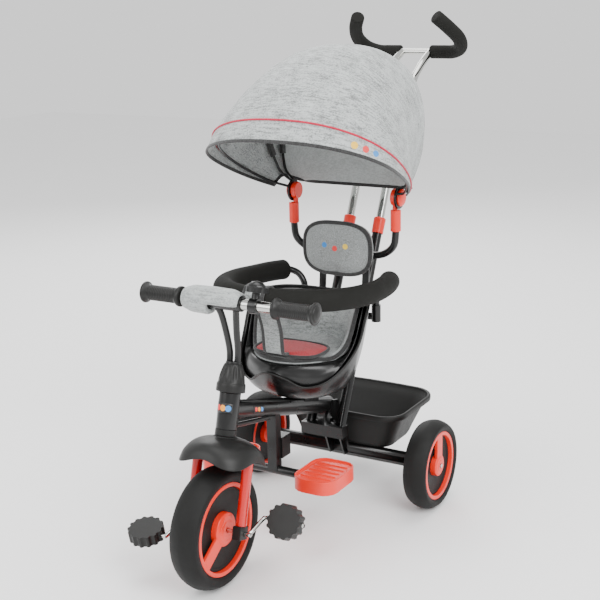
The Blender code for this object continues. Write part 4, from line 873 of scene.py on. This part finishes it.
class TRICYCLE_OT_seat(bpy.types.Operator):
    """Builds the glossy seat with its liner, pad, headrest, safety bar and strap"""
    bl_idname = "tricycle.seat"
    bl_label = "Seat"

    def execute(self, context):
        self.sizes = context.scene.tricycle_sizes
        self.shells()
        self.liner()
        self.pad()
        self.headrest()
        self.safety_bar()
        return {"FINISHED"}

    def shells(self):
        """The tub falls from the rim on a quarter wave; the pan climbs to its top."""
        rim, out, angle = seat_lines()
        base = seat_oval(angle, 0.075, 0.078, SEAT_BASE_Z, 0.015)
        s = np.linspace(0, 1, 30)[:, None, None]
        inward = 0.5 * s + 0.5 * (1 - np.cos(s * math.pi / 2))
        share = np.concatenate([inward, inward, np.sin(s * math.pi / 2)], axis=2)
        tub = rim + (base - rim) * share
        tub = np.concatenate([tub, np.broadcast_to(tub[-1].mean(0), tub[:1].shape)])
        made = Skin().add(place(tub), around=True).build(
            "seat_tub_shell", "frame", "gloss_plastic", LOOKS["gloss"], ["seat_tub"], 45)
        self.wall(made, 0.0030)
        bead = place(rim + out * 0.0006 + [0, 0, 0.0004])
        Skin().add(sweep(bead, circle(0.0024, 16), (0, 0, 1), closed=True), around=True,
                   along=True).build("seat_rim_bead", "frame", "gloss_plastic",
                                     LOOKS["plastic"])
        edge = rim - out * 0.0095 - [0, 0, 0.0010]
        plateau = seat_oval(angle, 0.105, 0.112, PLATEAU_Z)
        dish = seat_oval(angle, 0.080, 0.086, PLATEAU_Z - 0.003)
        pan = flow([edge, edge * 0.5 + plateau * 0.5 + out * 0.003, plateau, dish], 12)
        pan = np.concatenate([pan, np.broadcast_to(pan[-1].mean(0), pan[:1].shape)])
        made = Skin().add(place(pan), around=True).build(
            "seat_pan_shell", "frame", "gloss_plastic", LOOKS["gloss"], ["seat_pan"], 60)
        self.wall(made, 0.0025)

    def wall(self, made, thickness):
        """Gives an open shell its wall, inwards."""
        wall = made.modifiers.new("wall", "SOLIDIFY")
        wall.thickness, wall.offset = thickness, -1

    def liner(self):
        """Quilted cloth from its bound edge down to the dish, crowned between the two."""
        rim, out, angle = seat_lines()
        edge = rim - out * 0.0095 - [0, 0, 0.0010]
        plateau = seat_oval(angle, 0.105, 0.112, PLATEAU_Z)
        dish = seat_oval(angle, 0.080, 0.086, PLATEAU_Z - 0.003)
        hold = np.clip((0.365 - rim[:, 1]) / 0.105, 0, 1)
        start = (0.16 + 0.825 * hold ** 2 * (3 - 2 * hold))[:, None]

        def row(share, inward, lift):
            along = start + (1 - start) * share
            return edge * (1 - along) + plateau * along - out * inward + [0, 0, lift]

        rows = [dish + [0, 0, 0.0032], row(1.0, 0.0060, 0.0034), row(0.5, 0.0075, 0.0044),
                row(0.0, 0.0075, 0.0054), row(0.0, 0.0112, 0.0110), row(0.0, 0.0150, 0.0124),
                row(0.25, 0.0165, 0.0140), row(0.5, 0.0168, 0.0142), row(0.75, 0.0158, 0.0140),
                row(1.0, 0.0130, 0.0128), dish * [0.9, 1, 1] + [0, 0, 0.0138]]
        made = Skin().add(place(flow(rows, 5)), around=True, caps=True).build(
            "quilted_liner", "frame", "grey_fabric", LOOKS["liner"], ["seat_liner"], 75)
        bound = place(row(0.0, 0.0105, 0.0098))
        tape = Skin().add(sweep(bound, circle(0.0046, 16), (0, 0, 1), closed=True),
                          around=True, along=True)
        tape.build("liner_binding", "frame", "grey_fabric", LOOKS["binding"])

    def pad(self):
        """The crimson pad: a plate with round corners, plumped, with a bound edge."""
        a = np.linspace(0, 2 * math.pi, 120, endpoint=False)
        sx, sy = 0.0760, 0.0510
        power = 2 / 3.2
        outline = np.stack([sx * np.sign(np.cos(a)) * np.abs(np.cos(a)) ** power,
                            sy * np.sign(np.sin(a)) * np.abs(np.sin(a)) ** power], axis=1)
        rows = []
        for share, z in ((0.96, 0.3976), (1.0, 0.3990), (1.0, 0.4008), (0.96, 0.4022),
                         (0.80, 0.4030), (0.4, 0.4034)):
            rows.append(np.column_stack([outline * share, np.full(len(a), z)]))
        form = Skin().add(place(np.array(rows) + [0, 0.306, 0]), around=True, caps=True)
        raw = form.build("raw_pad", "frame", "crimson_fabric", LOOKS["crimson"])
        mesh = raw.data.copy()
        mesh.materials.clear()
        bpy.data.objects.remove(raw)
        soft = plumped("pad", mesh, 0.0030, 0.0025, 3.0)
        made = finished("crimson_pad", soft, "frame", LOOKS["crimson"],
                        ["seat_pad"], 180)
        relaxed(made, 3)
        edge = place(np.column_stack([outline * 1.012, np.full(len(a), 0.4010)])
                     + [0, 0.306, 0])
        Skin().add(sweep(edge, circle(0.0034, 16), (0, 0, 1), closed=True), around=True,
                   along=True).build("pad_binding", "frame", "crimson_fabric",
                                     LOOKS["binding"])

    def headrest(self):
        """A crowned cushion on a superellipse, with thick piping round its front."""
        a = np.linspace(0, 2 * math.pi, 144, endpoint=False)
        power = 2 / 3.0
        shape = np.stack([0.0850 * np.sign(np.cos(a)) * np.abs(np.cos(a)) ** power,
                          0.0605 * np.sign(np.sin(a)) * np.abs(np.sin(a)) ** power], axis=1)
        rows = []
        for share, depth in ((0.30, -0.0352), (0.60, -0.0346), (0.84, -0.0325),
                             (0.935, -0.0285), (0.945, -0.0240), (0.950, -0.0120),
                             (0.940, -0.0050), (0.90, -0.0020), (0.6, -0.0005)):
            rows.append(np.column_stack([shape[:, 0] * share, np.full(len(a), depth),
                                         shape[:, 1] * share]))
        raw = Skin().add(np.array(rows) + HEAD_PIVOT, around=True, caps=True).build(
            "raw_headrest", "headrest", "grey_fabric", LOOKS["binding"])
        mesh = raw.data.copy()
        mesh.materials.clear()
        bpy.data.objects.remove(raw)
        soft = plumped("headrest", mesh, 0.0035, 0.0040, 4.0)
        spots = [(-0.026, 0.008, 0.0062, (0.02, 0.20, 0.55)), (0.0, 0.002, 0.0062,
                 (0.70, 0.02, 0.02)), (0.026, 0.008, 0.0062, (0.80, 0.55, 0.05))]
        grey = bpy.context.scene.tricycle_colours.cloth_grey
        # The headrest is the canopy's one heather cloth; its pale thread at 0.72 of the cloth
        # grey is painted shade.
        look = woven_face("headrest_cloth_painted_shade", rgba(grey, 0.72)[:3], rgba(grey, 0.32)[:3],
                          spots, HEAD_PIVOT)
        made = finished("headrest_cushion", soft, "headrest", look,
                        ["headrest_pad"], 180)
        relaxed(made, 4)
        ring = np.column_stack([shape[:, 0] * 0.962, np.full(len(a), -0.0262),
                                shape[:, 1] * 0.948]) + HEAD_PIVOT
        Skin().add(sweep(ring, circle(0.0048, 20), (0, 1, 0), closed=True), around=True,
                   along=True).build("headrest_piping", "headrest", "grey_fabric",
                                     LOOKS["binding"])

    def safety_bar(self):
        """Foam ring on a bent tube, and the cloth strap that loops round the foam."""
        half = [(0.1310, 0.5080, 0.5150), (0.1460, 0.4600, 0.5180), (0.1550, 0.4000, 0.5210),
                (0.1570, 0.3500, 0.5250), (0.1480, 0.2960, 0.5290), (0.1240, 0.2450, 0.5330),
                (0.0850, 0.2080, 0.5360), (0.0430, 0.1890, 0.5375), (0.0, 0.1830, 0.5380)]
        tail = [(0.090, 0.524, 0.4350), (0.090, 0.524, 0.4470), (0.090, 0.524, 0.4650),
                (0.0930, 0.5245, 0.4860), (0.1040, 0.5235, 0.5030), (0.1190, 0.5190, 0.5115)]
        bar = Skin()
        for side in (1, -1):
            path = trace(place(np.array([*tail, *half[:3]]) * [side, 1, 1]), 90)
            bar.add(sweep(path, circle(0.0075), (0.15, 1, 0.1)), around=True, caps=True)
        bar.build("safety_bar_steel", "safety_bar", "black_steel", LOOKS["paint"],
                  ["safety_bar_tube"])
        radius = self.sizes.bar_foam
        path = trace(place(both_sides(half)), 220, tip=0.008)
        foam = Skin().add(sweep(path, circle(radius, 56), (0, 0, 1),
                                round_tip(path, radius, 0.0070)), around=True, caps=True)
        made = foam.build("safety_bar_padding", "safety_bar", "grip_foam", LOOKS["foam"],
                          ["safety_bar_foam"], 60)
        a = np.radians(np.linspace(-40, 205, 40))
        loop = np.stack([0.1842 + 0.0254 * np.cos(a), 0.5380 + 0.0254 * np.sin(a)], axis=1)
        flat = flow([(0.2540, 0.4072), (0.2420, 0.4080), (0.2340, 0.4170), (0.2290, 0.4600),
                     (0.2120, 0.5050)], 10)
        line = np.concatenate([flat, loop])
        path = place(np.column_stack([0 * line[:, 0], line]))
        strap = Skin().add(sweep(path, block(0.0030, 0.0380, 0.0008), (1, 0, 0)), around=True,
                           caps=True)
        for side in (1, -1):
            strap.add(sweep(path + [side * 0.0215, 0, 0], block(0.0042, 0.0078, 0.0016),
                            (1, 0, 0)), around=True, caps=True, slot=1)
        made = strap.build("bound_strap", "safety_bar", "grey_fabric",
                           [LOOKS["strap"], LOOKS["binding"]], ["crotch_strap"], 60)


def woven_face(name, pale, dark, spots, centre):
    """Heather cloth by place, with printed spots on the face that looks forward."""
    look = Look(name, Sheen_Weight=0.25, Sheen_Roughness=0.5, IOR=1.4)
    at = look.where()
    x, y, z = look.parts(at)
    pitch = 2 * math.pi / THREAD
    threads = (x * pitch).sine() * (z * pitch).sine()
    fleck = look.noise(look.stretched(at, (420.0, 420.0, 700.0)), 1.0, 3.0, 0.6)
    cloud = look.noise(at, 9.0, 3.0)
    colour = look.blend(look.ramp(fleck * 0.8 + cloud * 0.2, 0.34, 0.64), rgba(dark),
                        rgba(pale))
    front = y < float(centre[1]) - 0.030
    for across, up, radius, spot in spots:
        dx, dz = x - across, z - (float(centre[2]) + up)
        inside = ((dx * dx + dz * dz) < radius * radius) * front
        colour = look.blend(inside * 0.92, colour, rgba(spot))
    return look.feed(Base_Color=colour, Roughness=fleck * 0.1 + 0.86,
                     Normal=look.bump(threads * 0.5 + fleck * 0.8, 0.5, 0.00035))


# ---------------------------------------------------------------- basket
class TRICYCLE_OT_basket(bpy.types.Operator):
    """Builds the moulded basket with its rolled rim"""
    bl_idname = "tricycle.basket"
    bl_label = "Basket"

    def execute(self, context):
        rim, floor = 0.200, 0.1169
        rows = [self.ring(*row) for row in (
            (rim - 0.010, 0.1538, 0.4962, 0.7198, 0.052, 0.010),
            (rim - 0.004, 0.1545, 0.4955, 0.7205, 0.052, 0.010),
            (rim + 0.001, 0.1535, 0.4965, 0.7195, 0.051, 0.010),
            (rim + 0.0022, 0.1505, 0.4995, 0.7165, 0.049, 0.010),
            (rim + 0.001, 0.1470, 0.5030, 0.7130, 0.046, 0.009),
            (rim - 0.004, 0.1450, 0.5050, 0.7110, 0.044, 0.009),
            ((rim + floor) / 2 + 0.020, 0.1375, 0.5100, 0.6935, 0.041, 0.007),
            (floor + 0.022, 0.1225, 0.5185, 0.6700, 0.037, 0.004),
            (floor + 0.006, 0.1165, 0.5230, 0.6600, 0.034, 0.003),
            (floor, 0.1080, 0.5300, 0.6480, 0.029, 0.002),
            (floor, 0.0700, 0.5550, 0.6200, 0.020, 0.0))]
        grid = flow(rows, 4)
        grid = np.concatenate([grid, np.broadcast_to(grid[-1].mean(0), grid[:1].shape)])
        made = Skin().add(grid, around=True).build("moulded_basket", "frame", "black_plastic",
                                                   LOOKS["basket"], ["basket"], 50)
        wall = made.modifiers.new("wall", "SOLIDIFY")
        wall.thickness, wall.offset = 0.0024, -1
        return {"FINISHED"}

    def ring(self, z, half_x, front, back, radius, bow):
        """A round-cornered rectangle at one height; its back bows out in the middle."""
        middle, half_y = (front + back) / 2, (back - front) / 2
        corner = np.array([(1, 1), (-1, 1), (-1, -1), (1, -1)], float)
        edge = []
        for k, (sx, sy) in enumerate(corner):
            a = np.radians(np.linspace(90 * k, 90 * k + 90, 14))
            edge.append(np.stack([sx * (half_x - radius) + radius * np.cos(a),
                                  sy * (half_y - radius) + radius * np.sin(a)], axis=1))
            nx, ny = corner[(k + 1) % 4]
            end = np.array([nx * (half_x - radius), ny * (half_y - radius)])
            stop = end + radius * np.array([math.cos(a[-1]), math.sin(a[-1])])
            s = np.linspace(0, 1, 14)[1:-1, None]
            edge.append(edge[-1][-1] * (1 - s) + stop * s)
        x, y = np.concatenate(edge).T
        y = middle + y + bow * (1 - (x / half_x) ** 2) * np.maximum(y / half_y, 0)
        return place(np.stack([x, y, 0 * x + z], axis=1))


# ---------------------------------------------------------------- canopy
HOOD = np.array([(24, 0.2130, 0.3540, 0.200), (30, 0.2110, 0.3520, 0.185),
                 (45, 0.2020, 0.3440, 0.170), (60, 0.1920, 0.3350, 0.150),
                 (75, 0.1840, 0.3290, 0.130), (90, 0.1780, 0.3250, 0.120),
                 (104, 0.1750, 0.3180, 0.120)])
VISOR_EDGE, PIPED, LAST_ARCH = 24, 30, 104   # angles of the cloth's own lines
HOOD_ROWS = 75                              # rows from the piping to the last arch
RIB_ANGLES = (30, 75, 98)
MIDDLE_AHEAD = ((24, 30, 45), (-1.5, -3.0, 0.0))   # swing of the arches' middles, by angle


def arches(angles, count, start=0.0320, base=0.138, inset=0.0, ahead=None):
    """Arches of the hood at several angles; point [arch, column].

    Each widens from the hubs to its shoulders on a circle's law and closes over the top
    on a superellipse of power 2.3. ahead swings the middle of an arch forward.
    """
    angles = np.atleast_1d(np.asarray(angles, float))
    wide, high, shoulder = (np.interp(angles, HOOD[:, 0], HOOD[:, k])[:, None]
                            for k in (1, 2, 3))
    drop = shoulder / np.sin(np.arccos(base / wide))
    first = np.arcsin((start - shoulder) / drop)
    t = first + (math.pi - 2 * first) * np.linspace(0, 1, count)
    s, c = np.sin(t), np.cos(t)
    over = s > 0
    reach = np.where(over, shoulder + (high - shoulder) * np.abs(s) ** (2 / 2.3),
                     shoulder + drop * s)
    across = np.where(over, wide * np.sign(c) * np.abs(c) ** (2 / 2.3), wide * c)
    reach = reach - inset * np.minimum(1, reach / shoulder)
    across = across - np.sign(c) * inset * np.minimum(1, np.abs(c) * 2)
    turn_ahead = np.zeros((len(angles), 1)) if ahead is None else np.reshape(ahead, (-1, 1))
    swing = np.radians(angles[:, None] - turn_ahead * (s - np.sin(first))
                       / (1 - np.sin(first)))
    return np.stack([across, -np.cos(swing) * reach, np.sin(swing) * reach], axis=-1)


def canopy_grid(sag):
    """The cloth from the visor's edge over the ribs and down the back, row by row."""
    columns = 161
    visor = np.linspace(VISOR_EDGE, PIPED, 10)
    main = np.linspace(PIPED, LAST_ARCH, HOOD_ROWS)[1:]
    angles = np.concatenate([visor, main])
    ahead = np.interp(angles, *MIDDLE_AHEAD)
    hood = arches(angles, columns, ahead=ahead)
    bay = np.zeros(len(angles))
    for low, high in zip(RIB_ANGLES, RIB_ANGLES[1:]):
        inside = (angles > low) & (angles < high)
        depth = 1.0 if high - low > 30 else 0.35       # a narrow bay sags less
        bay += np.where(inside, np.sin(np.pi * (angles - low) / (high - low)), 0) * depth
    side = np.linspace(-1, 1, columns)
    over = np.clip(1.15 - np.abs(side) ** 2.2, 0, 1)
    dip = sag * bay[:, None] * over
    fold = 0.0011 * np.sin(side * 23 + angles[:, None] * 0.055) * np.abs(side) ** 1.6 \
        * np.sin(np.pi * np.clip((angles[:, None] - VISOR_EDGE)
                                 / (LAST_ARCH - VISOR_EDGE), 0, 1))
    hood = hood - outwards(hood) * (dip + fold)[..., None] * facing(hood)
    low = np.stack([np.linspace(0.1340, -0.1340, columns), np.full(columns, 0.0560),
                    np.full(columns, 0.0120)], axis=1)
    s = np.linspace(0, 1, 34)[1:, None, None]
    back = hood[-1] * (1 - s) + low * s
    belly = 0.006 * np.sin(np.pi * s) * np.clip(1 - side ** 2, 0, 1)[None, :, None]
    back = back + belly * np.array([0, 1, 0.15])
    return np.concatenate([hood, back]), len(visor) - 1, len(angles)


def facing(grid):
    """+1 where the grid's normals look away from the hubs, else -1."""
    return 1.0 if (outwards(grid) * grid).sum() > 0 else -1.0


class TRICYCLE_OT_canopy(bpy.types.Operator):
    """Builds the cloth canopy with its piping, binding, ribs and hubs"""
    bl_idname = "tricycle.canopy"
    bl_label = "Canopy"

    def execute(self, context):
        sizes, colours = context.scene.tricycle_sizes, context.scene.tricycle_colours
        grid, piped, hooded = canopy_grid(sizes.sag)
        across = np.linalg.norm(np.diff(grid, axis=1), axis=2)
        down = np.linalg.norm(np.diff(grid, axis=0), axis=2)
        u = np.concatenate([[0], np.cumsum(across.mean(0))])
        v = np.concatenate([[0], np.cumsum(down.mean(1))])
        grey = tuple(colours.cloth_grey)
        middle = (v[0] + v[piped]) / 2
        marks = [(u[40] + k * 0.021, middle - 0.001, 0.0062, spot) for k, spot in
                 enumerate([(0.02, 0.22, 0.58), (0.72, 0.02, 0.02), (0.85, 0.50, 0.03)])]
        rows = np.linspace(PIPED, LAST_ARCH, HOOD_ROWS)
        rib_rows = [int(np.argmin(np.abs(rows - k))) + piped for k in RIB_ANGLES]
        look = woven("canopy_cloth", grey, rgba(grey, 0.30)[:3], marks=marks,
                     seams=[float(v[k]) for k in rib_rows[1:]] + [float(v[hooded - 1])],
                     pale_from=float(v[hooded - 1]))
        made = Skin().add(HUB + grid).build("canopy_cloth", "canopy", "grey_fabric", look,
                                            ["canopy_fabric"], 180)
        wall = made.modifiers.new("cloth", "SOLIDIFY")
        wall.thickness, wall.offset = 0.0010, 0
        normals = outwards(grid) * facing(grid[:hooded])
        row = grid[piped] + normals[piped] * 0.0012
        cord = Skin().add(sweep(HUB + row, circle(sizes.piping, 16), normals[piped]),
                          around=True, caps=True)
        piping = cord.build("red_piping", "canopy", "grey_fabric", LOOKS["piping"])
        sewn = [piping, self.edge_tape(grid, normals, sizes.binding), *self.ribs()]
        for word in ("left", "right"):
            refined("canopy_sleeve_" + word, "frame", LOOKS["rim"], 0.0012)
            refined("canopy_hub_" + word, "canopy", LOOKS["rim"], 0.0006)
        return {"FINISHED"}

    def edge_tape(self, grid, normals, half):
        """Gives back the black tape folded over the four edges of the cloth."""
        tape = Skin()
        for line, lean in ((grid[0], normals[0]), (grid[-1], normals[-1]),
                           (grid[:, 0], normals[:, 0]), (grid[:, -1], normals[:, -1])):
            tape.add(sweep(HUB + line, block(2 * half, 0.0034, 0.0014), lean), around=True,
                     caps=True)
        return tape.build("canopy_binding", "canopy", "grey_fabric", LOOKS["binding"])

    def ribs(self):
        """Three wire ribs from hub to hub; gives back their black sleeves under the cloth."""
        plate = 0.1325
        frame, sleeves = Skin(), []
        for angle in RIB_ANGLES:
            line = arches([angle], 90, start=0.0290, base=plate + 0.0060, inset=0.0095)[0]
            near = math.radians(angle)
            foot = np.array([plate, -math.cos(near) * 0.0215, math.sin(near) * 0.0215])
            path = trace(np.concatenate([[foot], line[::3], [foot * [-1, 1, 1]]]), 160)
            plane = np.array([0, math.sin(near), math.cos(near)])
            frame.add(sweep(HUB + path, circle(0.0030, 16), plane), around=True, caps=True)
            if angle > 30:
                sleeves.append((angle, path[14:-14], plane))
        for side in (1, -1):
            at = Matrix.Translation((HUB + [side * plate, 0, 0]).tolist()) @ ALONG_X
            frame.add(turn(filleted([(0.0, 0.0022), (0.0245, 0.0022), (0.0245, -0.0022),
                                     (0.0, -0.0022)], 0.0006, False), 72, at), around=True)
        frame.build("canopy_ribs", "canopy", "black_steel", LOOKS["paint"], ["canopy_frame"])
        return [Skin().add(sweep(HUB + path * 0.999, block(0.0080, 0.0170, 0.0030), plane),
                           around=True, caps=True).build(
                "rib_sleeve_%d" % angle, "canopy", "grey_fabric", LOOKS["binding"], angle=60)
                for angle, path, plane in sleeves]


# ---------------------------------------------------------------- stage
class TRICYCLE_OT_stage(bpy.types.Operator):
    """Makes the floor, the soft lights and the camera"""
    bl_idname = "tricycle.stage"
    bl_label = "Stage"

    def execute(self, context):
        scene = context.scene
        half = scene.tricycle_sizes.floor / 2
        grid = np.array([[(x, y, -0.0005) for x in (-half, half)] for y in (-half, half)])
        mesh = bpy.data.meshes.new("floor")
        mesh.from_pydata(grid.reshape(-1, 3).tolist(), [], [(0, 1, 3, 2)])
        floor = bpy.data.objects.new("floor", mesh)
        scene.collection.objects.link(floor)
        look = Look("floor", Roughness=0.9, Specular_IOR_Level=0.2)
        cloud = look.noise(look.where(), 0.6, 2.0)
        mesh.materials.append(look.feed(Base_Color=look.blend(
            cloud, (0.93, 0.93, 0.93, 1), (0.95, 0.95, 0.95, 1))))
        self.lights(scene)
        self.camera(scene)
        return {"FINISHED"}

    def lights(self, scene):
        """A pale world and four large panels."""
        world = bpy.data.worlds.new("studio")
        world.use_nodes = True
        world.node_tree.nodes["Background"].inputs[0].default_value = (1, 1, 1, 1)
        world.node_tree.nodes["Background"].inputs[1].default_value = 1.15
        scene.world = world
        for name, at, size, energy in (("key", (2.4, -1.6, 2.6), 2.0, 120),
                                       ("front", (-1.6, -3.0, 2.4), 2.2, 60),
                                       ("top", (0.0, 0.2, 3.4), 2.4, 70),
                                       ("back", (-1.8, 2.4, 2.2), 1.8, 50)):
            lamp = bpy.data.lights.new(name, "AREA")
            lamp.shape, lamp.size, lamp.energy = "SQUARE", size, energy
            made = bpy.data.objects.new(name, lamp)
            made.location = at
            aim = Vector((0, 0, 0.5)) - Vector(at)
            made.rotation_euler = aim.to_track_quat("-Z", "Y").to_euler()
            scene.collection.objects.link(made)

    def camera(self, scene):
        """Eye at a standing adult's height, in front and to the left of the tricycle."""
        yaw, pitch, roll = (math.radians(k) for k in (30.23, 14.72, -1.22))
        view = np.array([-math.sin(yaw) * math.cos(pitch), math.cos(yaw) * math.cos(pitch),
                         -math.sin(pitch)])
        right = np.array([math.cos(yaw), math.sin(yaw), 0.0])
        up = np.cross(right, view)
        across = math.cos(roll) * right + math.sin(roll) * up
        rise = math.cos(roll) * up - math.sin(roll) * right
        lens = bpy.data.cameras.new("camera")
        lens.lens, lens.sensor_width = 70.2, 36.0
        made = bpy.data.objects.new("camera", lens)
        made.matrix_world = Matrix([(*row, at) for row, at in zip(
            np.stack([across, rise, -view], axis=1).tolist(), (1.200, -2.12425, 1.122))]
            + [(0, 0, 0, 1)])
        scene.collection.objects.link(made)
        scene.camera = made


class TRICYCLE_PT_panel(bpy.types.Panel):
    """Lists the tricycle's pieces in the sidebar"""
    bl_idname = "TRICYCLE_PT_panel"
    bl_label = "Children's Tricycle"
    bl_space_type = "VIEW_3D"
    bl_region_type = "UI"
    bl_category = "Tricycle"

    def draw(self, context):
        for group in (context.scene.tricycle_colours, context.scene.tricycle_sizes):
            for name in group.bl_rna.properties.keys():
                if name not in ("rna_type", "name"):
                    self.layout.prop(group, name)
        for operator in OPERATORS:
            self.layout.operator(operator.bl_idname)


OPERATORS = (TRICYCLE_OT_stage, TRICYCLE_OT_wheels, TRICYCLE_OT_steering, TRICYCLE_OT_frame,
             TRICYCLE_OT_handle, TRICYCLE_OT_seat, TRICYCLE_OT_basket, TRICYCLE_OT_canopy)
CLASSES = (TricycleColours, TricycleSizes, *OPERATORS, TRICYCLE_PT_panel)


def register():
    for made in CLASSES:
        bpy.utils.register_class(made)
    bpy.types.Scene.tricycle_colours = bpy.props.PointerProperty(type=TricycleColours)
    bpy.types.Scene.tricycle_sizes = bpy.props.PointerProperty(type=TricycleSizes)


def unregister():
    del bpy.types.Scene.tricycle_sizes
    del bpy.types.Scene.tricycle_colours
    for made in reversed(CLASSES):
        bpy.utils.unregister_class(made)


def main():
    """Builds every piece."""
    register()
    make_looks(bpy.context.scene.tricycle_colours)
    for operator in OPERATORS:
        group, name = operator.bl_idname.split(".")
        getattr(getattr(bpy.ops, group), name)()
    bpy.context.view_layer.update()


if __name__ == "__main__":
    main()
